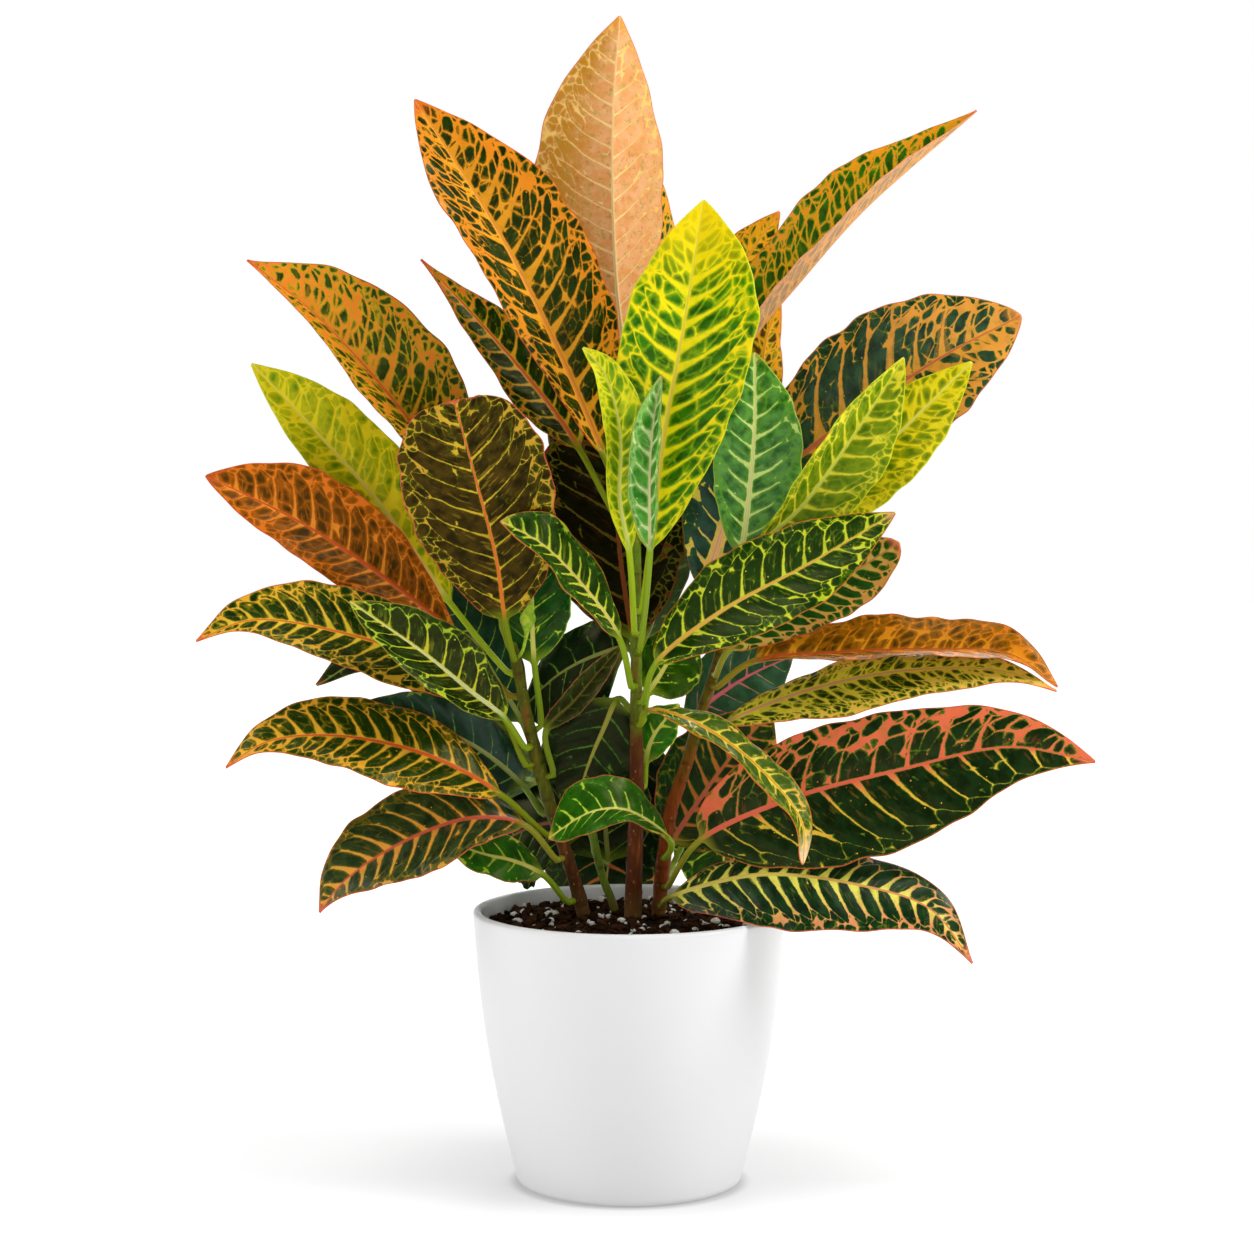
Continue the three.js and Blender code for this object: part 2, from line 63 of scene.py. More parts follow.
# Stems: x, y, z and radius from the buried end up.
STEMS = {
    "left": [(-21, 12, 116, 3.8), (-25, 10, 145, 3.8), (-33, 6, 175, 3.6), (-42, 2, 203, 3.5),
             (-49, -2, 229, 3.4), (-55, -6, 256, 3), (-60, -8, 281, 2.8), (-63, -10, 296, 2.4)],
    "centre": [(1, 3, 116, 4.9), (2, 2, 144, 4.8), (3, 0, 176, 4.5), (4, -2, 209, 4), (4, -4, 242, 3.5),
               (4, -6, 275, 3), (4, -8, 302, 2.7), (4, -4, 345, 2.4), (2, 4, 392, 2.2)],
    "right": [(13, 9, 116, 3.9), (16, 10, 145, 3.9), (19, 12, 175, 3.8), (23, 12, 202, 3.7),
              (32, 14, 229, 3.4), (40, 16, 257, 3), (47, 18, 278, 2.8), (52, 20, 300, 2.6), (56, 22, 330, 2.2)],
    "low": [(-4, 16, 116, 2.4), (-8, 16, 147, 2.3), (-14, 16, 163, 2.2), (-18, 16, 179, 2.1),
            (-20, 16, 192, 1.9)],
}


def leaf(at, look, rib, left, right, **more):
    """One leaf's measures and looks, as a dictionary."""
    return dict(at=at, look=look, rib=rib, left=left, right=right, **more)


GREEN_FROM = {"left": 196, "centre": 252, "right": 222, "low": 100}   # the height where bark turns green

# Leaves: the height on the stem; the look that they share; the midrib from the blade's base to its tip; from
# the midrib to the left and right margins where the blade is widest; then how the outline runs (widest, base,
# point: one value, or left and right) and what the finish changes.
LEAVES = {
    "centre_01": leaf(376, "blush", [(2, 30, 415), (-7, 32, 491), (-9, 36, 578), (-5, 38, 634)], (27, 24, 2),
        (-42, 8, -2), widest=0.6),
    "centre_02": leaf(374, "sunset", [(-14, 8, 396), (-37, 0, 449), (-69, -6, 513), (-114, -5, 585)],
        (-15, -27, -8), (36, 4, 18), widest=(0.7, 0.52), spacing=1.55, lateral=0.14, halo=0.23,
        midrib="#e09038", midrib_tip="#e89c3a", stout=1.1, reach=0.74, mesh=1.7, inner=0.7, net=0.75,
        cell="#0e2002", cell2="#1c3a06", fringe="#a8780e", vein="#f4a828", vein_far="#ea8a20", bleed=0.08,
        grain=1.4, flood_noise=0.3, flood_tip=0.6, flood_edge=0.25, margin="#cc4420"),
    "centre_03": leaf(389, "amber", [(20, 42, 425), (17, 62, 470), (16, 74, 515), (11, 80, 562)], (-22, 8, 2),
        (11, 12, 0), widest=0.6),
    "centre_04": leaf(360, "amber", [(36, 18, 410), (68, 16, 461), (92, 8, 490), (125, 0, 527), (185, -5, 579)],
        (-18, 8, 20), (-5, -28, 5), point=1.2, flood=0.25, mesh=1.9, under="#e09870", under_share=0.55,
        flood_tip=0.1, spacing=0.9, net=0.9, grain=1.2, cell="#1c4a0a", cell2="#347008"),
    "centre_05": leaf(370, "amber", [(39, 38, 415), (53, 44, 464), (64, 48, 501), (83, 52, 529)], (-16, 4, 8),
        (18, 4, -8)),
    "centre_06": leaf(356, "sunset",
        [(-27, 14, 399), (-46, 16, 426), (-70, 14, 455), (-94, 10, 482), (-112, 8, 501)], (-9, -12, -9),
        (13, 8, 12), widest=0.3, point=1.5, flood_tip=0.8, under="#3f2a24", under_share=0.8, spacing=1.15),
    "centre_07": leaf(312, "lemon", [(11, -22, 346), (18, -34, 405), (28, -42, 462), (39, -38, 530)],
        (-30, -12, 4), (38, -8, 4), widest=0.6, wave=1, lateral=0.15, halo=0.17, flood_tip=0.6, net=0.5,
        inner=0.35, lean=0.4, vein_far="#f8dc10", tip="#f2d20c", tip_from=0.72, soft=0.065, mesh=1.5,
        midrib="#e6c84c", flood_noise=0.3, flood=0.12),
    "centre_08": leaf(300, "lemon",
        [(0, -36, 346), (-5, -46, 373), (-5, -53, 410), (-13, -56, 440), (-24, -56, 453)], (-7, -6, 0),
        (12, -6, 4), widest=0.6, spacing=0.9, flood_edge=0.5, cell="#347002", cell2="#74a00a", vein="#f8f22c",
        fringe="#9cb410", grain=1.3, flood=0.15, inner=0.4),
    "centre_09": leaf(290, "emerald", [(11, -46, 347), (11, -58, 389), (13, -61, 416), (17, -58, 439)],
        (-11, -8, 0), (4, -10, 0), cell="#1f6e10", cell2="#5ca83c", spacing=1.0, midrib="#ecebb0", net=0.2,
        gleam="#f4ffe0", vein="#e4f0b0", vein_far="#cfe090", lateral=0.09, bleed=0.18, fringe="#9cc868"),
    "centre_10": leaf(284, "wine", [(2, 12, 295), (-4, 20, 333), (-9, 30, 376), (-21, 38, 416)], (-45, -9, 4),
        (35, -4, 2), point=(0.5, 0.8)),
    "centre_11": leaf(272, "emerald", [(-5, -28, 299), (-26, -44, 330), (-46, -56, 351), (-67, -60, 363)],
        (-5, -14, -5), (8, 10, 12), widest=(0.35, 0.7), point=(1, 0.65), margin="#c8622c", vein="#dcd842",
        lateral=0.075, spacing=0.8, net=0.15, speck=0.7, cell="#143004", cell2="#2a4a0a"),
    "centre_12": leaf(264, "emerald", [(14, -24, 285), (48, -40, 314), (94, -60, 341), (137, -74, 368)],
        (-12, 6, 21), (10, -16, -17), midrib="#eaba4c", margin="#c05c2a", tip="#e09a78", spacing=1.3,
        vein="#d8dc38", vein_far="#d4d830", lateral=0.06, halo=0.11, net=0.3, inner=0.4, speck=0.7,
        cell="#062a02", cell2="#103a02", fringe="#567808", bleed=0.09),
    "centre_13": leaf(252, "sunset",
        [(9, -20, 260), (37, -48, 255), (68, -66, 234), (89, -76, 208), (90, -78, 186)], (5, 8, 6),
        (-3, -10, -3), base=0.6, point=0.7, cell="#2a4810", cell2="#48641a", vein="#ead44a", midrib="#d99a2c",
        tip="#f4dcae", spacing=1.2, flood_tip=0.6, net=0.2, margin="#d8601c", vein_far="#eaa850",
        tip_from=0.86),
    "centre_14": leaf(268, "shade", [(0, 22, 290), (-20, 29, 285), (-41, 33, 273), (-60, 34, 254)], (6, 3, -38),
        (6, 4, 22), base=(0.55, 0.7)),
    "centre_15": leaf(258, "shade", [(-6, 14, 263), (-14, 17, 246), (-22, 18, 227), (-31, 18, 199)],
        (26, -2, -8), (-25, -2, 10), midrib="#b7b04a", vein="#5f8a30", net=0.0),
    "centre_16": leaf(252, "emerald", [(10, 3, 266), (17, 5, 277), (23, 7, 287), (33, 9, 304)], (-13, 2, 8),
        (15, -2, -11), cell="#1a3c02", cell2="#2e5406", vein="#b9c83a", lateral=0.02),
    "centre_17": leaf(216, "emerald", [(9, 4, 228), (12, 2, 241), (18, -1, 251), (27, -5, 262)], (-7, 2, 5),
        (8, -2, -5), cell="#1f5c0e", cell2="#2f7a14", vein="#c9d43a", margin="#b9cf3a", lateral=0.05, net=0.1),
    "centre_18": leaf(290, "shade", [(15, 45, 321), (-5, 75, 381), (-22, 100, 437), (-31, 115, 488)],
        (-30, 0, -8), (30, 0, 8), vein="#a8923a"),
    "centre_19": leaf(262, "shade", [(7, 45, 290), (6, 75, 335), (12, 100, 368), (15, 115, 402)], (32, 4, 0),
        (-32, 4, 0), vein="#a8923a"),
    "centre_20": leaf(206, "shade", [(6, 50, 236), (0, 72, 218), (-9, 90, 186), (-14, 98, 134)], (34, -2, 4),
        (-38, 2, 2), widest=0.72, base=0.7, point=0.4, vein="#b8502c", vein_far="#c0702c", margin="#93452a",
        lateral=0.05),
    "left_01": leaf(288, "wine", [(-66, -22, 308), (-70, -34, 341), (-80, -48, 384), (-91, -56, 426)],
        (-37, -6, -8), (37, -4, 9), widest=0.64, base=0.75, point=0.33, wave=1, spacing=1.25, vein="#d8b030",
        vein_far="#c89a30", midrib="#e8802c", midrib_tip="#d8643c", tip="#c8543c", tip_from=0.985, stout=0.75,
        net=0.6, reach=0.7, cell="#1e1604", cell2="#4a380c", lateral=0.035, fringe="#4e5a08", mesh=1.6,
        halo=0.1, margin="#d04e46", inner=0.4),
    "left_02": leaf(290, "sunset", [(-82, 4, 350), (-110, 4, 402), (-164, -16, 468), (-201, -30, 499)],
        (-6, -24, -5), (28, 6, 26), widest=(0.45, 0.55), point=(1.6, 1.2), midrib="#e0682c", vein="#f29828",
        vein_far="#ec8424", fringe="#dcb81c", streak=0.3, inner=0.6, lateral=0.1, cell="#143004",
        cell2="#3c560a", bleed=0.1, grain=1.4, halo=0.15, flood_tip=0.6, flood_edge=0.2, flood=0.15),
    "left_03": leaf(278, "lemon", [(-98, 22, 315), (-136, 20, 369), (-172, 12, 411), (-203, 2, 445)],
        (-10, -8, -11), (19, 4, 18), widest=0.55, cell="#5c8c08", cell2="#ccca10", vein="#f6e41e",
        vein_far="#f2e024", fringe="#bcc410", spacing=1.2, flood_tip=0.0, inner=0.7, midrib="#f0e070",
        lateral=0.12, mesh=1.7, soft=0.05),
    "left_04": leaf(266, "rust", [(-94, 6, 298), (-133, -4, 331), (-174, -20, 360), (-223, -36, 386)],
        (-8, -14, -13), (16, 2, 24), widest=(0.5, 0.62), base=1.1, point=0.9, shine=0.08, net=0.6,
        margin="#cc442c"),
    "left_06": leaf(247, "emerald", [(-51, -3, 283), (-52, -1, 302), (-52, -1, 324), (-51, 3, 350)],
        (-18, 4, 0), (20, -4, 2), widest=0.45, point=0.8, margin="#9ab43a", cell="#0c3410", cell2="#184c16",
        lateral=0.015),
    "left_07": leaf(240, "emerald", [(-66, -20, 255), (-85, -34, 272), (-108, -48, 293), (-146, -56, 321)],
        (-7, -20, -7), (14, 2, 15), midrib="#e2e6a4", halo=0.16, spacing=1.2, cell="#0c1802", lateral=0.06,
        net=0.3, speck=0.5, cell2="#263a08", vein="#dcd032", fringe="#4c6a10", inner=0.35),
    "left_08": leaf(236, "shade", [(-58, 12, 250), (-73, 20, 274), (-91, 27, 304), (-122, 30, 339)],
        (-14, -2, -12), (16, 8, 13), cell="#14301c", cell2="#20462a", vein="#b4bf3e", speck=0.6,
        gleam="#e8fff8", shine=0.3),
    "left_09": leaf(230, "sunset",
        [(-69, -12, 258), (-101, -22, 283), (-153, -36, 303), (-199, -44, 310), (-228, -42, 299)],
        (-2, -24, -15), (2, 4, 24), widest=(0.42, 0.5), point=(1.8, 1.1), spacing=1.05, cell="#0c2402",
        cell2="#1a3a08", vein="#f2cc38", vein_far="#f0b034", midrib="#e8782c", lateral=0.09, halo=0.15,
        net=0.45, fringe="#8a8214", bleed=0.11, flood=0.15, margin="#d0502c", tip="#d8502c"),
    "left_10": leaf(226, "shade", [(-67, 10, 246), (-102, 7, 269), (-140, 3, 286), (-169, -2, 272)],
        (-2, 0, -8), (2, -2, 13), tip="#a8402f"),
    "left_11": leaf(222, "shade", [(-45, -8, 247), (-29, -14, 265), (-16, -18, 281), (-4, -20, 295)],
        (-6, -6, 3), (5, -8, -3), wave=0.5, cell="#2a2e12", cell2="#3a3a18", vein="#6a6a2c", vein_far="#7a5a2c",
        margin="#9a4a2c", midrib="#6a6a2c", spacing=1.0),
    "left_12": leaf(202, "shade", [(-57, 8, 215), (-80, 1, 236), (-108, -4, 251), (-144, -10, 263)],
        (-8, -12, -27), (8, 0, 16), widest=(0.35, 0.5), cell="#122a16", cell2="#1c3a22", net=0.0,
        gleam="#e8fff8", shine=0.25),
    "left_13": leaf(192, "sunset",
        [(-69, -20, 215), (-106, -34, 237), (-152, -46, 249), (-189, -52, 247), (-212, -50, 233)],
        (-3, -20, -17), (3, 14, 19), widest=(0.36, 0.5), point=(1.9, 1), spacing=1.05, cell="#142c02",
        cell2="#243e08", vein="#f0b430", vein_far="#eea830", midrib="#e4602c", lateral=0.09, halo=0.14,
        net=0.45, fringe="#8c7a14", bleed=0.11, flood=0.14, margin="#d0502c", tip="#d8502c"),
    "left_14": leaf(178, "coral",
        [(-56, -12, 197), (-85, -23, 202), (-122, -34, 190), (-150, -42, 172), (-164, -44, 155)], (9, -20, -15),
        (-12, 10, 21), point=(1.7, 1), vein="#f0a03c", vein_far="#dca43a", lateral=0.1, halo=0.06, reach=0.74,
        cell="#182a10", cell2="#36481e", gleam="#ffffff", shine=0.2, bleed=0.14, fringe="#7c6a1c",
        margin="#d85038"),
    "left_15": leaf(154, "emerald", [(-46, -2, 168), (-62, -4, 176), (-81, -6, 181), (-102, -8, 190)],
        (2, -8, -10), (-2, 8, 12), cell="#1d4c0e", cell2="#2f6a14", vein="#a9b83a", margin="#a85a2c", speck=0.5,
        net=0.1),
    "left_16": leaf(284, "sunset", [(-66, 40, 315), (-76, 66, 352), (-82, 88, 392), (-86, 102, 428)],
        (32, 4, 6), (-29, 8, -6), widest=0.6, point=0.6),
    "left_17": leaf(212, "shade", [(-50, 38, 214), (-79, 75, 214), (-114, 100, 219), (-144, 115, 226)],
        (16, 14, 14), (-14, -10, -18)),
    "right_01": leaf(322, "coral", [(77, 25, 378), (104, 24, 403), (168, 14, 448), (211, 5, 471)], (-24, 6, 34),
        (19, -10, -28), point=0.8, spacing=1.6, cell="#14301a", cell2="#345834", lateral=0.2, halo=0.14,
        vein="#f6ac38", vein_far="#f6a640", margin="#c8543a", midrib="#e0744c", flood_tip=0.7, tip="#e49640",
        net=0.45, inner=0.6, reach=0.76, gleam="#f4fff4", shine=0.25, grain=1.3, mesh=1.7, bleed=0.07,
        flood=0.1),
    "right_02": leaf(326, "amber", [(58, 28, 380), (72, 34, 436), (75, 36, 458), (83, 40, 480)], (-11, 2, 3),
        (11, 4, -3), cell="#4a300c", cell2="#5c3f10"),
    "right_03": leaf(324, "emerald", [(60, -6, 342), (65, -12, 383), (67, -14, 415), (67, -10, 451)],
        (-20, -4, 2), (25, -8, -2), cell="#1a5c0a", cell2="#62a040", midrib="#f0f098", spacing=1.05,
        margin="#a9b83f", lateral=0.075, net=0.12, curve=0.3, vein="#e2f48c", vein_far="#c8e478", halo=0.17,
        gleam="#f0fff0", shine=0.25, bleed=0.16, fringe="#6cac24"),
    "right_04": leaf(306, "lemon", [(70, -20, 349), (91, -30, 370), (121, -44, 413), (143, -50, 448)],
        (-10, -16, 7), (18, -8, -14), cell="#447006", cell2="#7c980e", vein="#f6ea3c", vein_far="#f2e634",
        fringe="#92a216", midrib="#d2d860", net=0.55, flood_tip=0.0, grain=1.4, flood=0.0),
    "right_05": leaf(314, "lemon", [(87, 0, 348), (116, -6, 380), (147, -14, 411), (182, -18, 446)],
        (-14, 4, 14), (15, -4, -15), spacing=1.0, net=0.8, cell="#4c7202", cell2="#769206", fringe="#b2ae0c",
        vein="#f2dc18", vein_far="#f0dc1c", grain=1.4),
    "right_06": leaf(304, "shade", [(42, 6, 323), (48, 6, 347), (55, 6, 372), (63, 8, 415)], (-22, 0, 5),
        (20, 6, -4), cell="#123020", cell2="#20482c", midrib="#f0b47c", vein="#ecc05c", halo=0.4, lateral=0.11,
        stout=1.3, gleam="#e8fff8", shine=0.3, vein_far="#ecd03c"),
    "right_07": leaf(276, "coral", [(54, -2, 291), (84, -8, 313), (117, -15, 332), (144, -20, 350)],
        (-9, 6, 14), (8, -6, -15), widest=0.6, point=0.6, cell="#143c0e", cell2="#225418", vein="#d8b858",
        vein_far="#dc9a4a", margin="#c0502c", spacing=0.8, lateral=0.1, flood_tip=0.5, midrib="#c88a4a",
        net=0.9),
    "right_08": leaf(270, "rust",
        [(66, -8, 285), (108, -16, 290), (165, -26, 293), (202, -32, 291), (227, -34, 274)], (0, 12, 17),
        (0, -26, -1), base=0.6, point=(0.85, 0.7), spacing=1.3, cell="#402c02", cell2="#6c4204", vein="#ec9c1a",
        vein_far="#dc7a18", fringe="#b8700a", lateral=0.055, inner=0.75, flood_tip=0.4, tip="#d8822c",
        grain=1.5),
    "right_09": leaf(244, "sunset",
        [(52, -6, 252), (92, -16, 269), (144, -32, 282), (197, -43, 283), (225, -46, 273)], (-2, 14, 8.5),
        (2, -20, -14), widest=(0.45, 0.38), point=(1, 1.6), cell="#143004", cell2="#2c4a06", vein="#f0e03c",
        vein_far="#f2c44c", midrib="#f2b87c", halo=0.22, flood=0.3, inner=0.6, net=0.7, spacing=0.85,
        lateral=0.08, tip="#e0822c", fringe="#a4a81c", bleed=0.11, margin="#e0603c"),
    "right_10": leaf(160, "coral",
        [(38, -26, 191), (85, -40, 215), (142, -52, 232), (199, -60, 245), (244, -58, 237)], (-12, 8, 28),
        (9, -14, -38), widest=(0.43, 0.38), base=(0.55, 0.7), point=(0.9, 1.3), spacing=1.9, cell="#081c06",
        cell2="#162f10", lateral=0.07, halo=0.08, flood_side=-0.9, flood_tip=0.1, net_side=-0.9, speck=1.0,
        net=0.25, inner=0.25, reach=0.78, vein="#e46a48", midrib="#e0684c", vein_far="#e66e48",
        vein_low="#e8b43c", grain=1.1, mesh=1.2, flood=0.15),
    "right_11": leaf(150, "coral",
        [(23, -22, 160), (69, -44, 175), (121, -60, 172), (157, -70, 161), (179, -72, 133)], (2, 14, 14),
        (-3, -16, -25), widest=(0.5, 0.4), point=(1, 1.5), vein="#f4ea60", vein_far="#ea9460", midrib="#e6d45c",
        midrib_tip="#e07c58", cell="#061e0a", cell2="#143c14", flood_tip=0.4, lateral=0.12, halo=0.08, net=0.25,
        inner=0.3, fringe="#647418", bleed=0.06, gleam="#fbffe8", shine=0.25, tip="#e07a58", margin="#d8604c"),
    "right_12": leaf(176, "emerald", [(21, -40, 194), (-2, -56, 211), (-20, -64, 211), (-42, -68, 198)],
        (-1, -16, -9), (0, 8, 18), widest=(0.6, 0.7), base=(0.85, 1.4), cell="#1a4404", cell2="#28600a",
        vein="#c8cf4a", midrib="#d8d86a", margin="#b04a2a", spacing=0.8, lateral=0.03, streak=0.0, speck=0.5),
    "right_13": leaf(172, "coral", [(23, 24, 181), (40, 30, 207), (59, 34, 232), (79, 36, 254)], (-24, 2, 16),
        (26, -2, -22), base=(0.8, 0.6), cell="#142c14", cell2="#203c1a", vein="#cf6f3a", vein_far="#cf8a3a",
        midrib="#cf6a50", spacing=1.0),
    "right_14": leaf(250, "shade", [(31, 40, 247), (48, 50, 260), (68, 58, 272), (92, 66, 282)], (-12, 6, 20),
        (16, -4, -22), widest=(0.55, 0.4), base=(1.2, 0.6), cell="#1c3c24", cell2="#2c5434", vein="#b8606a",
        midrib="#cf6070", lateral=0.03, net=0.0, gleam="#f0f8ff", shine=0.3),
    "right_15": leaf(296, "coral", [(51, 50, 315), (74, 75, 358), (109, 95, 397), (149, 100, 425)],
        (-18, 6, 20), (18, -4, -20), spacing=1.3, net=0.35),
    "right_16": leaf(165, "emerald", [(34, 50, 184), (50, 88, 194), (54, 110, 174), (56, 117, 136)], (28, 0, 6),
        (-28, 4, 2), widest=0.72, base=1.4, point=0.4, net=0.2),
    "low_01": leaf(172, "shade", [(-12, 36, 170), (-13, 42, 190), (-11, 46, 212), (-6, 48, 236)], (-26, 2, 2),
        (25, 2, -2), widest=0.4, base=0.5),
    "low_02": leaf(178, "shade", [(-22, 26, 188), (-40, 34, 192), (-60, 42, 186), (-80, 48, 170)],
        (-4, -4, -33), (6, 6, 26), widest=0.45, base=0.6, midrib="#8a4a3a", net=0.0),
}

# ---- colours and vein patterns -----------------------------------------------------------------------------

# Lengths here are centimetres across a blade. cell, cell2: the tissue between veins. vein, vein_far: veins
# near the midrib and far from it. lateral, halo: half widths of side veins and of the coloured band along the
# midrib. net, inner: how strong the mesh of small veins is outside and inside the arches. flood: how far vein
# colour spreads, with more of it towards the tip, the edge or the right side. reach: where the arches stand.
# USUAL is what a look in PALETTES doesn't change, and a leaf's own values come last.
PALETTES = {
    "sunset": dict(spacing=1.1, streak=0.15, speck=0.35, cell="#0d2005", cell2="#1b3a08", vein="#f0aa2a",
        vein_far="#e67a22", midrib="#d8642a", margin="#c0401d", fringe="#8c9a18", tip="#dc6a2a",
        stalk="#7d8a14", lateral=0.07, halo=0.17, net=0.6, inner=0.35),
    "amber": dict(flood=0.3, cell="#142c06", cell2="#29480a", vein="#f4b41c", vein_far="#f09a1c",
        midrib="#eaa640", margin="#cc4a1c", fringe="#b8b020", tip="#e88c2c", stalk="#9aa018", lateral=0.07,
        halo=0.16, net=0.8, inner=0.9),
    "lemon": dict(grain=1.2, soft=0.06, bleed=0.2, flood=0.3, cell="#0f4a02", cell2="#347a04", vein="#f8e612",
        vein_far="#e4da20", midrib="#e2e27c", margin="#cfd828", fringe="#94b80c", tip="#ecd82a",
        stalk="#a6bf20", lateral=0.07, halo=0.14, net=0.6, inner=0.6),
    "emerald": dict(bleed=0.08, streak=0.2, speck=0.4, cell="#062606", cell2="#0f4209", vein="#c4d030",
        vein_far="#b4c830", midrib="#dcd46a", margin="#96802c", fringe="#3f7d14", tip="#c0b03c",
        stalk="#86a01c", lateral=0.045, halo=0.1, net=0.0, inner=0.1),
    "wine": dict(spacing=1.6, streak=0.25, speck=0.2, shine=0.08, cell="#080800", cell2="#121003",
        vein="#5c2818", vein_far="#6c2a1c", midrib="#7c4020", margin="#8a2a20", fringe="#6b6a14", tip="#c0603c",
        stalk="#7a8c18", lateral=0.025, halo=0.08, net=0.2, inner=0.2),
    "rust": dict(grain=1.4, soft=0.03, bleed=0.2, streak=0.3, cell="#3c2804", cell2="#703e06", vein="#ee902c",
        vein_far="#e07420", midrib="#c85424", margin="#b03c1c", fringe="#b4600e", tip="#bc5222",
        stalk="#96821e", lateral=0.06, halo=0.1, net=0.35, inner=0.5),
    "coral": dict(spacing=1.1, speck=0.5, cell="#081e0c", cell2="#123012", vein="#e6aa3a", vein_far="#e46c40",
        midrib="#d86044", margin="#cc4834", fringe="#5f7a18", tip="#e4704e", stalk="#98942a", lateral=0.06,
        halo=0.09, net=0.2, inner=0.15),
    "blush": dict(soft=0.03, cell_right="#ba7e10", streak=0.0, mottle=0.5, under_share=0.0, cell="#e49a58",
        cell2="#eeb07a", vein="#f8d088", vein_far="#f4c468", midrib="#fadc98", margin="#d4603a",
        fringe="#e0a868", tip="#e8942e", stalk="#c8bf50", lateral=0.035, halo=0.1, net=0.4, inner=0.5),
    # shade: darker cells and veins for the leaves at the back and deep inside the plant, partly their own
    # darker green and partly painted shade.
    "shade": dict(streak=0.0, speck=0.3, cell="#08180a", cell2="#102610", vein="#7f9a30", vein_far="#74882c",
        midrib="#9aa050", margin="#6d4426", fringe="#2f5a1a", tip="#7a6a34", stalk="#74861c", lateral=0.02,
        halo=0.05, net=0.1, inner=0.05),
}
USUAL = dict(spacing=1.15, lean=0.55, curve=0.35, reach=0.66, mesh=2.0, grain=1.8, soft=0.014, bleed=0.09,
    flood=0.0, flood_tip=0.3, flood_edge=0.0, flood_side=0.0, flood_noise=0.5, net_side=0.0, midrib_tip=None,
    cell_right=None, vein_low=None, streak=0.1, speck=0.0, mottle=0.0, stout=1.0, tip_from=0.94,
    under="#5f7d4a", under_share=0.35, shine=0.18, gleam="#fff2a4")

WIDEST, BASE, POINT = 0.5, 0.85, 1.0  # where a blade is widest, and how its two ends fill out
BLADE = 0.9           # thickness of a blade
KEEL = 1.1            # how far the midrib stands out below at a blade's base
STALK = 1.7           # radius of a petiole
TIP_HALF = 0.7        # half width at the very tip
SOCKET = 3.0          # a petiole leaves its stem square for this far
GAP = 0.3             # between a petiole and its stem
WAVE = 1.6            # height of the waves at a margin
WAVES = 2.5           # waves along a margin
WAVE_SHIFT = 0.3      # of a wave, between the two margins
WAVER = 0.018         # how far a margin strays from its smooth outline, as a share of the width
ROW = 1.8             # distance between rows of points along a blade
WAVER_BEATS = (5.3, 9.1)     # waves of that straying along a margin
ROOTED = 1.2          # how far a petiole's end runs into the bark
FOOT_SWELL, FOOT_LENGTH = 0.28, 3   # share by which a petiole thickens at its foot, and over what length
RIDGE, RIDGE_WIDTH = 0.28, 1.1      # the midrib's rise above the blade
KEEL_WIDTH = 1.5
CAMBER = 0.16
CALM = 4.5            # quilting starts this far from the midrib
STALK_ROWS = 9        # rows of points along a petiole
FEWEST_ROWS = 26      # along the shortest blade
FLATTEN = 5.0         # a petiole turns into a blade over this length
GREEN = 9.0           # and its colour fades out over this one
# Shares of the half width at which points stand, closer at the midrib and at the margin.
HALF = [0.03, 0.06, 0.1, 0.17, 0.26, 0.36, 0.46, 0.56, 0.66, 0.76, 0.85, 0.92, 0.97, 1.0]
ACROSS = np.array([-s for s in reversed(HALF)] + [0.0] + HALF)


# ---- finishes ----------------------------------------------------------------------------------------------

def colour(code):
    """Linear red, green, blue and alpha of an #rrggbb colour."""
    parts = [int(code[i:i + 2], 16) / 255 for i in (1, 3, 5)]
    return tuple(p / 12.92 if p <= 0.04045 else ((p + 0.055) / 1.055) ** 2.4 for p in parts) + (1.0,)


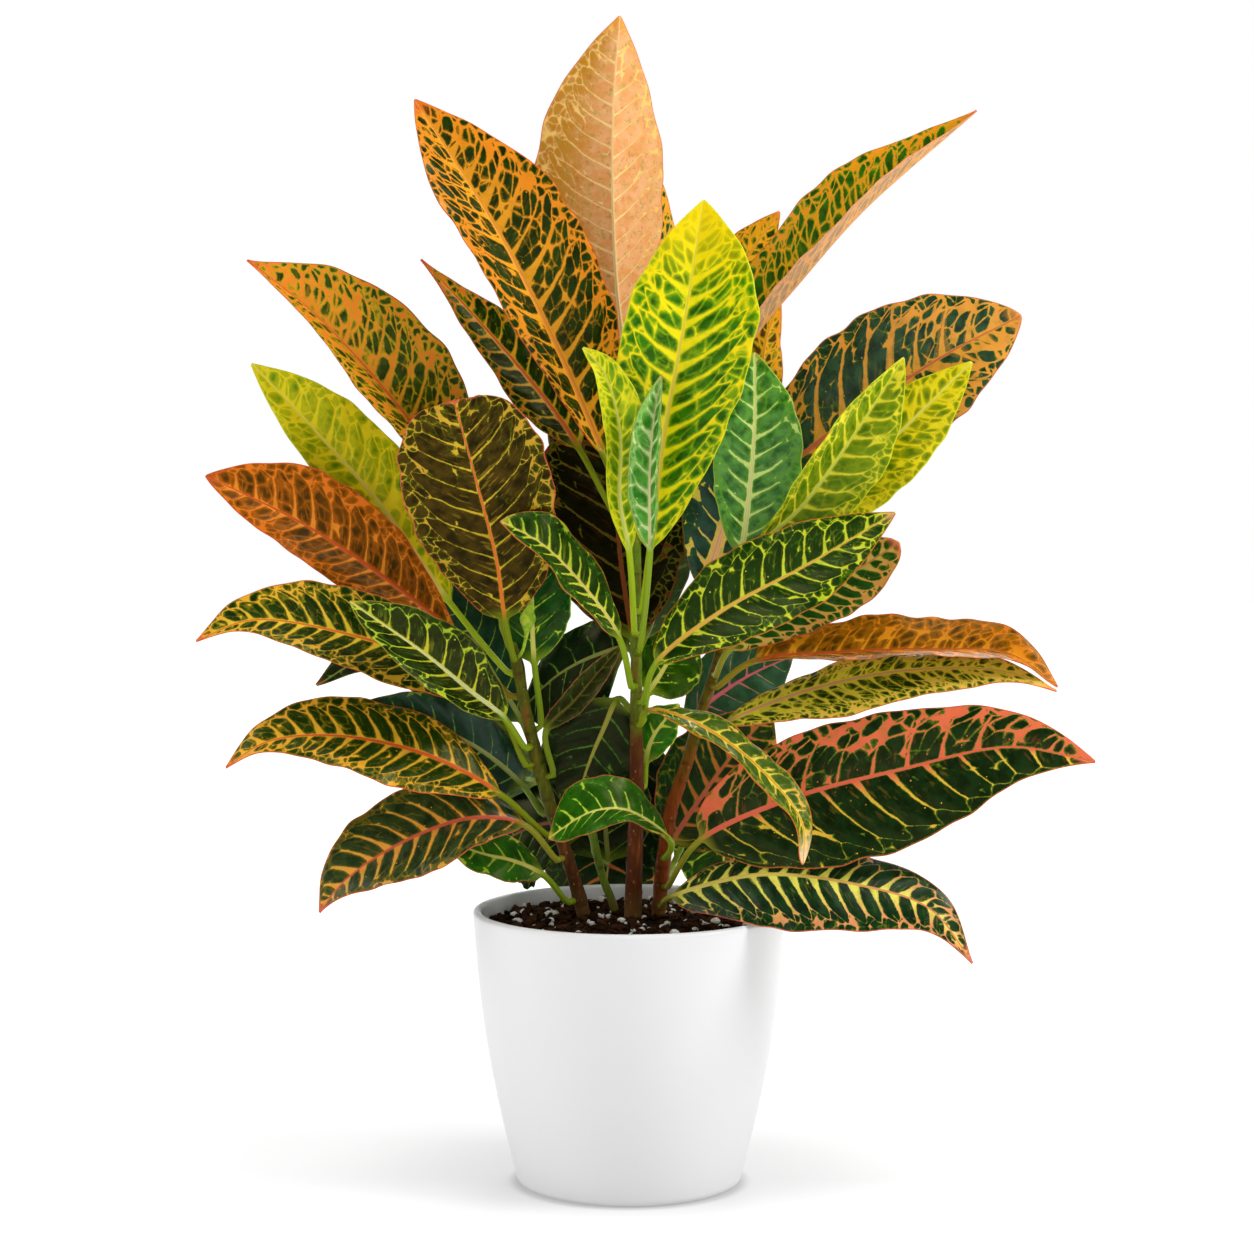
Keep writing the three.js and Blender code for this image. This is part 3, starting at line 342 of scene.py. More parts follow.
class Finish:
    """A new material and short names for the nodes that its pattern is made of."""

    def __init__(self, name, roughness=0.5, specular=0.5, tint=(1.0, 1.0, 1.0, 1.0)):
        self.material = bpy.data.materials.new(name)
        self.material.use_nodes = True
        self.tree = self.material.node_tree
        self.shader = self.tree.nodes["Principled BSDF"]
        self.shader.inputs["Roughness"].default_value = roughness
        self.shader.inputs["Specular IOR Level"].default_value = specular
        self.shader.inputs["Specular Tint"].default_value = tint

    def feed(self, socket, value):
        """Link a socket to a node's output, or set it."""
        if isinstance(value, bpy.types.NodeSocket):
            self.tree.links.new(value, socket)
        else:
            socket.default_value = value

    def outputs(self, kind, inputs, **settings):
        """The outputs of a new node with these settings and inputs."""
        node = self.tree.nodes.new("ShaderNode" + kind)
        for name, value in settings.items():
            setattr(node, name, value)
        for socket, value in inputs.items():
            self.feed(node.inputs[socket], value)
        return node.outputs

    def math(self, operation, *values):
        return self.outputs("Math", dict(enumerate(values)), operation=operation)[0]

    def sum(self, *values):
        total = values[0]
        for value in values[1:]:
            total = self.math("ADD", total, value)
        return total

    def times(self, first, second):
        return self.math("MULTIPLY", first, second)

    def less(self, first, second):
        return self.math("SUBTRACT", first, second)

    def soft_min(self, first, second, width):
        return self.math("SMOOTH_MIN", first, second, width)

    def rise(self, *numbers):
        """A smooth rise as a value goes from low to high: value, low, high, then start and end if not 0, 1."""
        return self.outputs("MapRange", dict(enumerate(numbers)), interpolation_type="SMOOTHSTEP")[0]

    def blend(self, share, first, second):
        return self.outputs("Mix", {0: share, 6: first, 7: second}, data_type="RGBA")[2]

    def attribute(self, name, output="Vector"):
        return self.outputs("Attribute", {}, attribute_name=name)[output]

    def split(self, vector):
        return self.outputs("SeparateXYZ", {0: vector})

    def join(self, x, y, z):
        return self.outputs("CombineXYZ", {0: x, 1: y, 2: z})[0]

    def place(self):
        return self.outputs("TexCoord", {})["Object"]

    def noise(self, place, scale, detail=2.0, rough=0.5):
        return self.outputs("TexNoise", {"Vector": place, "Scale": scale, "Detail": detail,
                                         "Roughness": rough})["Fac"]

    def sway(self, place, scale, detail=2.0):
        """Noise about zero."""
        return self.less(self.noise(place, scale, detail), 0.5)

    def cells(self, place, scale, feature="DISTANCE_TO_EDGE", output="Distance"):
        return self.outputs("TexVoronoi", {"Vector": place, "Scale": scale}, feature=feature)[output]

    def islands(self, place, scale, thin, roundness):
        """How far inside a rounded cell a point is, in place's own unit; below zero on the lines between."""
        edge = self.times(self.cells(place, scale), 1 / scale)
        corner = self.less(roundness / scale, self.times(self.cells(place, scale, "F1"), 1 / scale))
        return self.soft_min(self.sum(edge, -thin), corner, 0.2 / scale)

    def chance(self, number):
        """A random share that belongs to a number."""
        return self.outputs("TexWhiteNoise", {"Vector": number})["Value"]

    def bump(self, height, depth, strength):
        normal = self.outputs("Bump", {"Strength": strength, "Distance": depth, "Height": height})[0]
        self.feed(self.shader.inputs["Normal"], normal)

    def paint(self, value):
        self.feed(self.shader.inputs["Base Color"], value)

    def gloss(self, value):
        self.feed(self.shader.inputs["Roughness"], value)


def leaf_finish(name, look):
    """A blade's colours, laid out by the piece's own vein, sheet, breadth, under and stalk attributes."""
    f = Finish(name, 0.35, look["shine"], colour(look["gleam"]))
    side, phase, share = f.split(f.attribute("vein"))
    sheet = f.attribute("sheet")
    x, y, seed = f.split(sheet)
    breadth = f.attribute("breadth", "Fac")
    out = f.math("ABSOLUTE", side)
    cross = f.math("ABSOLUTE", x)
    spacing = look["spacing"]

    # Side veins: a triangle wave of the vein phase gives the distance to the nearest one.
    drift = f.sway(sheet, 1.1)
    phase = f.sum(phase, f.times(f.times(drift, out), 0.55 / spacing))
    wave = f.math("PINGPONG", phase, 0.5)
    chance = f.chance(f.join(f.math("ROUND", phase), seed, f.math("SIGN", side)))
    flare = f.sum(f.rise(out, 0.0, 0.9, 1.0, 0.5), f.rise(out, 0.0, 0.3, 0.9, 0.0))
    half = f.times(flare, f.times(f.sum(0.5, chance), look["lateral"]))
    lateral = f.less(f.times(wave, spacing), half)
    # Arches join the side veins' ends, and each space between them is one rounded cell.
    arch = f.rise(wave, 0.0, 0.5, look["reach"] - 0.03, look["reach"] + 0.15)
    arch = f.sum(arch, f.times(f.sway(sheet, 0.8, 1.0), 0.22))
    beyond = f.times(f.less(out, arch), breadth)
    thin = look["lateral"] * (0.2 + 0.35 * look["net"]) - max(0.0, 0.3 - look["net"]) * 0.4
    band = f.less(cross, f.rise(share, 0.0, 1.0, look["halo"], look["halo"] * 0.45))
    space = f.soft_min(lateral, f.less(f.times(beyond, -1.0), thin), 0.2)
    space = f.soft_min(space, band, 0.18)
    flood = f.sum(look["flood"], f.rise(share, 0.45, 1.0, 0.0, look["flood_tip"]),
                  f.times(out, look["flood_edge"]), f.times(side, look["flood_side"]),
                  f.times(f.sway(sheet, 0.45), look["flood_noise"] * 2))
    flood = f.math("MINIMUM", f.math("MAXIMUM", flood, 0.0), 1.0)
    long = f.join(f.times(x, 1.1), f.times(phase, spacing * 0.95), seed)
    inner = f.islands(long, look["grain"], 0.015, 0.72)
    threads = f.math("MAXIMUM", f.less(1.0, f.sum(flood, look["inner"])), 0.0)
    inner = f.sum(inner, f.times(threads, 0.2), f.times(flood, -0.035))
    space = f.soft_min(space, inner, 0.06)
    # Beyond the arches lies a mesh of small round cells.
    wander = f.noise(sheet, 1.8, 1.0)
    crooked = f.join(f.sum(x, f.times(wander, 0.3)), f.sum(y, f.times(wander, -0.3)), seed)
    outer = f.sum(f.islands(crooked, look["mesh"], 0.02, 0.68), 0.06 - 0.08 * look["net"],
                  f.times(flood, -0.03), f.times(side, look["net_side"] * -0.08))
    rim = f.times(f.less(1.0, out), breadth)
    ring = f.soft_min(outer, f.less(beyond, thin), 0.12)
    ring = f.soft_min(ring, f.less(rim, 0.03), 0.08)
    reach = f.math("MAXIMUM", space, ring)
    ragged = f.sum(f.times(f.sway(sheet, 9.0), 0.05), f.times(f.sway(sheet, 3.2), 0.09))
    reach = f.sum(reach, ragged)
    vein = f.rise(reach, -look["soft"], look["soft"], 1.0, 0.0)

    far = f.rise(f.sum(out, f.times(share, 0.7), f.times(ragged, 2.0)), 0.45, 1.25)
    vein_colour = f.blend(far, colour(look["vein"]), colour(look["vein_far"]))
    if look["vein_low"]:
        vein_colour = f.blend(f.rise(side, 0.0, 0.3), vein_colour, colour(look["vein_low"]))
    tint = f.rise(f.noise(sheet, 1.7, 3.0), 0.45, 0.7, 0.0, 0.25)
    vein_colour = f.blend(tint, vein_colour, colour(look["fringe"]))
    tissue = f.blend(f.rise(f.noise(sheet, 1.4, 3.0), 0.3, 0.7), colour(look["cell"]), colour(look["cell2"]))
    if look["cell_right"]:
        right = f.rise(f.sum(side, f.times(ragged, 4.0)), 0.0, 0.75, 0.0, 0.9)
        tissue = f.blend(right, tissue, colour(look["cell_right"]))
    near = f.rise(f.sum(reach, f.times(ragged, 0.8)), 0.0, look["bleed"], 0.75, 0.0)
    tissue = f.blend(near, tissue, colour(look["fringe"]))
    if look["mottle"]:
        spots = f.rise(f.noise(sheet, 2.6, 3.0, 0.65), 0.56, 0.66, 0.0, look["mottle"])
        tissue = f.blend(spots, tissue, colour("#8f9a3a"))
        spots = f.rise(f.noise(f.join(y, x, seed), 3.4, 2.0), 0.62, 0.7, 0.0, look["mottle"] * 0.7)
        tissue = f.blend(spots, tissue, colour("#a8562c"))
    if look["streak"]:
        fibres = f.noise(f.join(f.times(x, 0.8), f.times(phase, 4.2), seed), 1.5, 3.0)
        streaks = f.times(f.rise(fibres, 0.56, 0.68), f.rise(out, 0.15, 0.8, look["streak"], 0.0))
        tissue = f.blend(streaks, tissue, vein_colour)
    if look["speck"]:
        dot = f.cells(sheet, 2.6, "F1")
        keep = f.split(f.cells(sheet, 2.6, "F1", "Color"))[0]
        kept = f.rise(keep, 1.0 - look["speck"] * 0.5, 1.0, 0.0, 1.5)
        dots = f.times(f.rise(dot, 0.08, 0.13, 1.0, 0.0), kept)
        tissue = f.blend(f.math("MINIMUM", dots, 1.0), tissue, vein_colour)
    skin = f.blend(vein, tissue, vein_colour)
    tip = f.rise(f.sum(share, f.times(ragged, 0.6)), look["tip_from"], 1.0, 0.0, 0.85)
    skin = f.blend(tip, skin, colour(look["tip"]))
    width = f.rise(share, 0.0, 1.0, 0.15 * look["stout"], 0.04)
    rib = f.rise(f.less(cross, width), -0.03, 0.012, 1.0, 0.0)
    line = f.blend(f.rise(share, 0.3, 0.85), colour(look["midrib"]),
                   colour(look["midrib_tip"] or look["midrib"]))
    skin = f.blend(rib, skin, line)
    groove = f.rise(f.math("ABSOLUTE", f.less(cross, f.times(width, 0.45))), 0.0, 0.035, 0.35, 0.0)
    skin = f.blend(groove, skin, colour(look["margin"]))
    edge = f.rise(f.sum(rim, f.times(ragged, 0.25)), 0.03, 0.075, 0.9, 0.0)
    skin = f.blend(edge, skin, colour(look["margin"]))
    under = f.attribute("under", "Fac")
    skin = f.blend(f.times(under, look["under_share"]), skin, colour(look["under"]))
    stalk = f.attribute("stalk", "Fac")
    skin = f.blend(stalk, skin, colour(look["stalk"]))
    f.paint(skin)
    f.gloss(f.sum(f.rise(f.noise(sheet, 1.1, 2.0), 0.3, 0.7, 0.24, 0.34), f.times(under, 0.2)))
    fine = f.noise(sheet, 14.0, 2.0)
    f.bump(f.sum(f.times(vein, -0.5), f.times(fine, 0.35)), 0.0003, 0.55)
    return f.material


# ---- shaping -----------------------------------------------------------------------------------------------

def deselect():
    """Leave edit mode and select nothing, as operators act on all that is selected."""
    if bpy.context.object and bpy.context.object.mode != "OBJECT":
        bpy.ops.object.mode_set(mode="OBJECT")
    bpy.ops.object.select_all(action="DESELECT")


def finish_piece(piece, name, material, node=None):
    """Name a finished piece, give it its material, hang it under the root body, and hide the node whose place
    it takes.
    """
    piece.name = name
    piece.data.name = name
    piece.data.materials.clear()
    piece.data.materials.append(material)
    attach(piece, "root")
    if node:
        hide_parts(node)
    return piece


def rolled_skin(rings, values=None):
    """A sheet rolled into a closed skin over equal rings of points, its seam merged and its ends filled."""
    rings = np.asarray(rings)
    rows, count = rings.shape[:2]
    deselect()
    bpy.ops.mesh.primitive_grid_add(x_subdivisions=count, y_subdivisions=rows - 1, size=1)
    sheet = bpy.context.object
    closed = np.concatenate([rings, rings[:, :1]], axis=1)
    sheet.data.vertices.foreach_set("co", (closed * MM).ravel())
    for name, value in (values or {}).items():
        value = np.asarray(value, dtype=np.float32)
        value = np.concatenate([value, value[:, :1]], axis=1)
        kind = "FLOAT_VECTOR" if value.ndim == 3 else "FLOAT"
        layer = sheet.data.attributes.new(name, kind, "POINT")
        layer.data.foreach_set("vector" if value.ndim == 3 else "value", value.ravel())
    bpy.ops.object.mode_set(mode="EDIT")
    bpy.ops.mesh.select_all(action="SELECT")
    bpy.ops.mesh.remove_doubles(threshold=SEAM)
    bpy.ops.mesh.select_all(action="SELECT")
    bpy.ops.mesh.fill_holes(sides=0)
    bpy.ops.mesh.select_all(action="SELECT")
    bpy.ops.mesh.normals_make_consistent(inside=False)
    bpy.ops.object.mode_set(mode="OBJECT")
    bpy.ops.object.shade_smooth()
    return sheet


class Line:
    """A smooth line through points, with its length measured, as the part's own curves run."""

    STEPS = 400

    def __init__(self, points):
        self.points = [Vector(p) for p in points]
        self.last = len(self.points) - 1
        track = [self.at(k / self.STEPS) for k in range(self.STEPS + 1)]
        steps = [(b - a).length for a, b in zip(track, track[1:])]
        self.lengths = np.concatenate([[0.0], np.cumsum(steps)])
        self.length = float(self.lengths[-1])

    def at(self, u):
        """The point at a share u of the points' count."""
        p = min(max(u, 0.0), 1.0) * self.last
        k = min(int(p), self.last - 1)
        w = p - k
        p1, p2 = self.points[k], self.points[k + 1]
        p0 = self.points[k - 1] if k > 0 else p1 * 2 - p2
        p3 = self.points[k + 2] if k + 2 <= self.last else p2 * 2 - p1
        d0, d1, d2 = (math.sqrt((b - a).length) for a, b in ((p0, p1), (p1, p2), (p2, p3)))
        t1 = ((p1 - p0) / d0 - (p2 - p0) / (d0 + d1) + (p2 - p1) / d1) * d1
        t2 = ((p2 - p1) / d1 - (p3 - p1) / (d1 + d2) + (p3 - p2) / d2) * d1
        return p1 + t1 * w + (p2 * 3 - p1 * 3 - t1 * 2 - t2) * w ** 2 + (p1 * 2 - p2 * 2 + t1 + t2) * w ** 3

    def tangent(self, u):
        return (self.at(u + 1e-3) - self.at(u - 1e-3)).normalized()

    def by_length(self, share):
        """The u at a share of the whole length."""
        return float(np.interp(share * self.length, self.lengths, np.linspace(0, 1, self.STEPS + 1)))


def stem_radius(stem, u):
    """A stem's radius at a share u of its points."""
    radii = [p[3] for p in STEMS[stem]]
    return float(np.interp(u * (len(radii) - 1), range(len(radii)), radii))


def stem_at(stem, height):
    """Point, tangent and radius where a stem's centre line passes a height."""
    line = STEM_LINES[stem]
    low, high = 0.0, 1.0
    for _ in range(30):
        middle = (low + high) / 2
        if line.at(middle).z < height:
            low = middle
        else:
            high = middle
    return line.at(low), line.tangent(low), stem_radius(stem, low)


STEM_LINES = {name: Line([p[:3] for p in points]) for name, points in STEMS.items()}


def of_half(leaf, measure, usual, half):
    """A leaf's own value for one half, 0 left or 1 right, or the usual one."""
    value = leaf.get(measure, usual)
    return value[half] if isinstance(value, tuple) else value


def half_outline(t, leaf, half):
    """A half blade's width as a share of its widest, at a share t of its length. half: 0 left, 1 right."""
    widest = of_half(leaf, "widest", WIDEST, half)
    if t < widest:
        return max(0.0, 1 - (1 - t / widest) ** 2) ** of_half(leaf, "base", BASE, half)
    return max(0.0, 1 - ((t - widest) / (1 - widest)) ** 2) ** of_half(leaf, "point", POINT, half)


def both_faces(row):
    """Values across a blade's upper face, followed by the same ones back across its lower face."""
    return np.concatenate([row, row[::-1]])


def leaf_rings(name, look, sizes):
    """Rings of points round a petiole and its blade, and the attributes that its finish reads."""
    leaf = LEAVES[name]
    point, stem_tangent, radius = stem_at(name.split("_")[0], leaf["at"])
    rib = [Vector(p) for p in leaf["rib"]]
    out = rib[0] - point
    out = (out - stem_tangent * out.dot(stem_tangent)).normalized()
    start = point + out * (radius + GAP)
    line = Line([start, start + out * SOCKET] + rib)
    base = float(np.interp(2 / (len(rib) + 1), np.linspace(0, 1, Line.STEPS + 1), line.lengths)) / line.length
    blade_length = line.length * (1 - base)
    widest = base + (1 - base) * of_half(leaf, "widest", WIDEST, 1)
    wide_tangent = line.tangent(line.by_length(widest))
    rows = max(FEWEST_ROWS, round(blade_length / ROW))
    # Shares run from -1 where the petiole starts, through 0 at the blade's base, to 1 at its tip.
    shares = [(-1 + k / STALK_ROWS) for k in range(STALK_ROWS)] + [k / rows for k in range(rows + 1)]
    seed = leaf["at"] * 0.37 + len(name)
    spacing = look["spacing"] * 10
    size = np.abs(ACROSS)
    halves_index = (ACROSS >= 0).astype(int)
    count = len(ACROSS) * 2
    turns = np.pi * (1 - (2 * np.arange(count) + 1) / count)
    rings, veins, sheets, breadths, unders, stalks = [], [], [], [], [], []
    for share in shares:
        t = max(share, 0.0)
        along = base * (1 + share) if share < 0 else base + (1 - base) * t
        u = line.by_length(along)
        centre, tangent = line.at(u), line.tangent(u)
        if share == -1:
            centre = centre - out * ROOTED
        turn = wide_tangent.rotation_difference(tangent)
        left, right = turn @ Vector(leaf["left"]), turn @ Vector(leaf["right"])
        up = (tangent.cross(left).normalized() + right.cross(tangent).normalized()).normalized()
        sideways = tangent.cross(up)
        from_foot = (1 + share) * base * line.length
        thick = STALK * (1 + FOOT_SWELL * math.exp(-(from_foot / FOOT_LENGTH) ** 2))
        ring = np.array(centre) + thick * (np.outer(np.cos(turns), sideways) + np.outer(np.sin(turns), up))
        outlines = np.array([half_outline(t, leaf, 0), half_outline(t, leaf, 1)])[halves_index]
        lengths = np.array([left.length, right.length])[halves_index]
        ways = np.array([left.normalized(), right.normalized()])[halves_index]
        slow, quick = (t * beats for beats in WAVER_BEATS)
        edge = 1 + WAVER * np.sin((slow + halves_index * 0.4) * 2 * np.pi + leaf["at"] * 1.7) \
            + WAVER * 0.6 * np.sin((quick + halves_index * 0.7) * 2 * np.pi + leaf["at"])
        span = lengths * outlines * edge + STALK + (TIP_HALF - STALK) * t
        distance = t * blade_length
        swing = np.sin((t * WAVES + (1 - halves_index) * WAVE_SHIFT) * 2 * np.pi + leaf["at"])
        ripple = leaf.get("wave", WAVE) * outlines * size ** 2 * swing
        ripple = ripple + 0.35 * sizes.crinkle * outlines * size ** 5 * np.sin(
            t * blade_length / 8.5 * 2 * np.pi / 2.2 + halves_index * 2 + leaf["at"])
        cross = span * size
        phase = (distance - span * (look["lean"] * size + look["curve"] * size ** 3)) / spacing
        phase = phase + 0.5 * (1 - halves_index) + seed
        puff = 0.5 - 0.5 * np.cos(2 * np.pi * phase)
        calm = (1 - np.exp(-(cross / CALM) ** 2)) * np.clip((1 - size) * 3.2, 0, 1) * min(1.0, 8 * t) \
            * min(1.0, 6 * (1 - t))
        camber = CAMBER * outlines * lengths * (size - size ** 2) * 0.55
        lift = ripple + sizes.quilting * puff * calm * np.clip(spacing / 11, 0.7, 1.5) + camber
        middle = np.array(centre) + ways * cross[:, None] + np.outer(lift, up)
        taper = np.sqrt(np.clip(1 - size ** 6, 0.04, 1)) * (1 - 0.35 * t)
        ridge = RIDGE * np.exp(-(cross / RIDGE_WIDTH) ** 2) * (1 - 0.7 * t)
        keel = (KEEL + 0.4) * (1 - t) ** 0.8 * np.exp(-(cross / (KEEL_WIDTH - 0.7 * t)) ** 2)
        top = middle + np.outer(BLADE / 2 * taper + ridge, up)
        bottom = middle - np.outer(BLADE / 2 * taper + keel, up)
        blade = np.concatenate([top, bottom[::-1]])
        if share < 0:
            mixed, stalk = ring, 1.0
        else:
            flat = min(1.0, distance / FLATTEN)
            flat = flat * flat * (3 - 2 * flat)
            mixed, stalk = ring * (1 - flat) + blade * flat, 1 - min(1.0, distance / GREEN)
        rings.append(mixed)
        side = both_faces(ACROSS) * (0 if share < 0 else 1)
        veins.append(np.stack([side, both_faces(phase), np.full(count, t)], axis=1))
        x = both_faces(cross * np.sign(ACROSS)) / 10
        sheets.append(np.stack([x, np.full(count, distance / 10), np.full(count, seed)], axis=1))
        breadths.append(both_faces(span) / 10)
        unders.append(np.concatenate([np.zeros(len(ACROSS)), np.ones(len(ACROSS))]))
        stalks.append(np.full(count, stalk))
    values = dict(vein=np.array(veins), sheet=np.array(sheets), breadth=np.array(breadths),
                  under=np.array(unders), stalk=np.array(stalks))
    return np.array(rings), values


# ---- settings ----------------------------------------------------------------------------------------------

class PotSettings(bpy.types.PropertyGroup):
    """The glazed pot."""
    height: bpy.props.FloatProperty(name="Height", description="Foot to lip", default=0.150, unit="LENGTH")
    rim: bpy.props.FloatProperty(name="Rim radius", description="Outer radius at the top", default=0.085,
                                 unit="LENGTH")
    foot: bpy.props.FloatProperty(name="Foot radius", description="Flat disc it stands on", default=0.057,
                                  unit="LENGTH")
    wall: bpy.props.FloatProperty(name="Wall", description="Thickness of the wall", default=0.0045,
                                  unit="LENGTH")
    glaze: bpy.props.FloatVectorProperty(name="Glaze", description="Colour of the glaze", size=4,
                                         subtype="COLOR", default=(0.8, 0.8, 0.805, 1.0))


class SoilSettings(bpy.types.PropertyGroup):
    """The potting mix."""
    chips: bpy.props.IntProperty(name="Bark chips", description="How many lie on the surface", default=620)
    grains: bpy.props.IntProperty(name="White grains", description="How many show at the surface", default=150)
    lumps: bpy.props.FloatProperty(name="Lumps", description="Height of the surface's lumps", default=0.0022,
                                   unit="LENGTH")


class StemSettings(bpy.types.PropertyGroup):
    """The colours of each woody stem and of the basal shoot."""


for stem_name, bark_code, young_code in (("left", "#4a2a10", "#5e6a14"), ("centre", "#54220c", "#6c8a20"),
                                         ("right", "#94400e", "#6e6414"), ("low", "#64801c", "#64801c")):
    for part_name, words, code in (("bark", "old wood", bark_code), ("young", "young wood", young_code)):
        StemSettings.__annotations__[stem_name + "_" + part_name] = bpy.props.FloatVectorProperty(
            name=f"{stem_name.title()} {words}", description=f"Colour of the {words} of the {stem_name} stem",
            size=4, subtype="COLOR", default=colour(code))


class LeafSettings(bpy.types.PropertyGroup):
    """The leaves' surface."""
    quilting: bpy.props.FloatProperty(name="Quilting", description="Rise between side veins, in mm",
                                      default=0.5)
    crinkle: bpy.props.FloatProperty(name="Crinkle", description="Fine waves at the margin, in mm",
                                     default=1.0)


class StageSettings(bpy.types.PropertyGroup):
    """Floor and light."""
    floor: bpy.props.FloatVectorProperty(name="Floor", description="Colour of the floor", size=4,
                                         subtype="COLOR", default=(0.3, 0.3, 0.3, 1.0))
    key: bpy.props.FloatProperty(name="Key light", description="Power of the main light", default=34.0,
                                 unit="POWER")
    # The floor's glow next to the pot, lower than further out: the pot's painted shadow on the floor.
    floor_glow_and_painted_shadow: bpy.props.FloatProperty(name="Glow", description="Light given off by the floor near the pot",
                                  default=0.5)
    sky: bpy.props.FloatProperty(name="Sky", description="Brightness between the horizon and the top light",
                                 default=0.09)


# ---- operators ---------------------------------------------------------------------------------------------

CORNER = 5.0          # radius of the round corner at the pot's foot
BULGE = 4.0           # how far the wall swells past a straight taper
POT_FLOOR = 8         # height of the floor inside
SHARP = math.radians(35)


def wall_radius(z, pot):
    """The outer wall's radius in mm at a height in mm."""
    foot = pot.foot / MM + CORNER
    share = (z - CORNER) / (pot.height / MM - CORNER)
    return foot + (pot.rim / MM - foot) * share + BULGE * math.sin(math.pi * share)


class CROTON_OT_pot(bpy.types.Operator):
    """Draw the pot's wall up from its foot ring by ring, over the lip and down to the floor inside"""
    bl_idname = "croton.make_pot"
    bl_label = "Make pot"

    def execute(self, context):
        pot = context.scene.croton_pot
        height, wall = pot.height / MM, pot.wall / MM
        lip = wall / 2
        rings = [(pot.foot / MM + CORNER * math.sin(a), CORNER * (1 - math.cos(a)))
                 for a in (math.radians(15 * k) for k in range(1, 7))]
        heights = [10 + 5 * k for k in range(28)]
        rings += [(wall_radius(z, pot), z) for z in heights if z < height - lip - 1]
        middle = wall_radius(height - lip, pot) - lip
        rings += [(middle + lip * math.cos(a), height - lip + lip * math.sin(a))
                  for a in (math.radians(20 * k) for k in range(10))]
        rings += [(wall_radius(z, pot) - wall, z) for z in reversed(heights) if z < height - lip - 1]
        rings += [(wall_radius(heights[0], pot) - wall - 2, POT_FLOOR)]
        deselect()
        bpy.ops.mesh.primitive_circle_add(vertices=160, radius=pot.foot, fill_type="NGON")
        piece = context.object
        bpy.ops.object.mode_set(mode="EDIT")
        bpy.ops.mesh.select_all(action="SELECT")
        radius, z = pot.foot / MM, 0.0
        bpy.ops.mesh.inset(thickness=0.004)
        bpy.ops.mesh.inset(thickness=0.02)
        bpy.ops.mesh.select_all(action="DESELECT")
        bpy.ops.mesh.select_mode(type="EDGE")
        bpy.ops.mesh.select_non_manifold()
        for new_radius, new_z in rings:
            bpy.ops.mesh.extrude_edges_move(TRANSFORM_OT_translate={"value": (0, 0, (new_z - z) * MM)})
            scale = new_radius / radius
            bpy.ops.transform.resize(value=(scale, scale, 1), center_override=(0, 0, 0))
            radius, z = new_radius, new_z
        bpy.ops.mesh.edge_face_add()
        bpy.ops.mesh.select_mode(type="VERT")
        bpy.ops.mesh.select_all(action="SELECT")
        bpy.ops.mesh.normals_make_consistent(inside=False)
        bpy.ops.object.mode_set(mode="OBJECT")
        bpy.ops.object.shade_smooth_by_angle(angle=SHARP)
        f = Finish("white_glaze", 0.24)
        place = f.place()
        cloud = f.rise(f.noise(place, 9.0, 2.0), 0.25, 0.75)
        tone = f.blend(cloud, tuple(pot.glaze), tuple(c * 0.985 for c in pot.glaze[:3]) + (1.0,))
        speck = f.rise(f.cells(place, 210.0, "F1"), 0.05, 0.09, 0.1, 0.0)
        f.paint(f.blend(speck, tone, colour("#b9b4a8")))
        f.gloss(f.rise(f.noise(place, 12.0, 2.0), 0.25, 0.75, 0.34, 0.42))
        f.bump(f.noise(place, 900.0, 2.0), 0.00003, 0.06)
        finish_piece(piece, "glazed_pot", f.material, "pot")
        return {"FINISHED"}


SOIL_EDGE = 141       # height of the potting mix at the wall
MOUND = 3             # how much higher it stands in the middle
MOUND_REACH = 80
SOIL_RINGS = 46       # rings of points on its surface
SOIL_GAP = 0.7        # between the mix and the wall
WALL_CLEAR, STEM_CLEAR = 2.5, 1.5   # chips and grains keep this far from the wall and the stems
LARGE_SHARE, LARGE = 0.15, 1.45     # share of them that is larger, and by how much


def soil_height(x, y, lumps):
    """The potting mix's surface in mm: a low mound with lumps."""
    share = min(1.0, math.hypot(x, y) / MOUND_REACH)
    lump = noise.noise(Vector((x * 0.12, y * 0.12, 0.0)))
    lump += 0.6 * noise.noise(Vector((x * 0.31, y * 0.31, 7.0)))
    return SOIL_EDGE + MOUND * (1 - share * share) + lumps / MM * lump


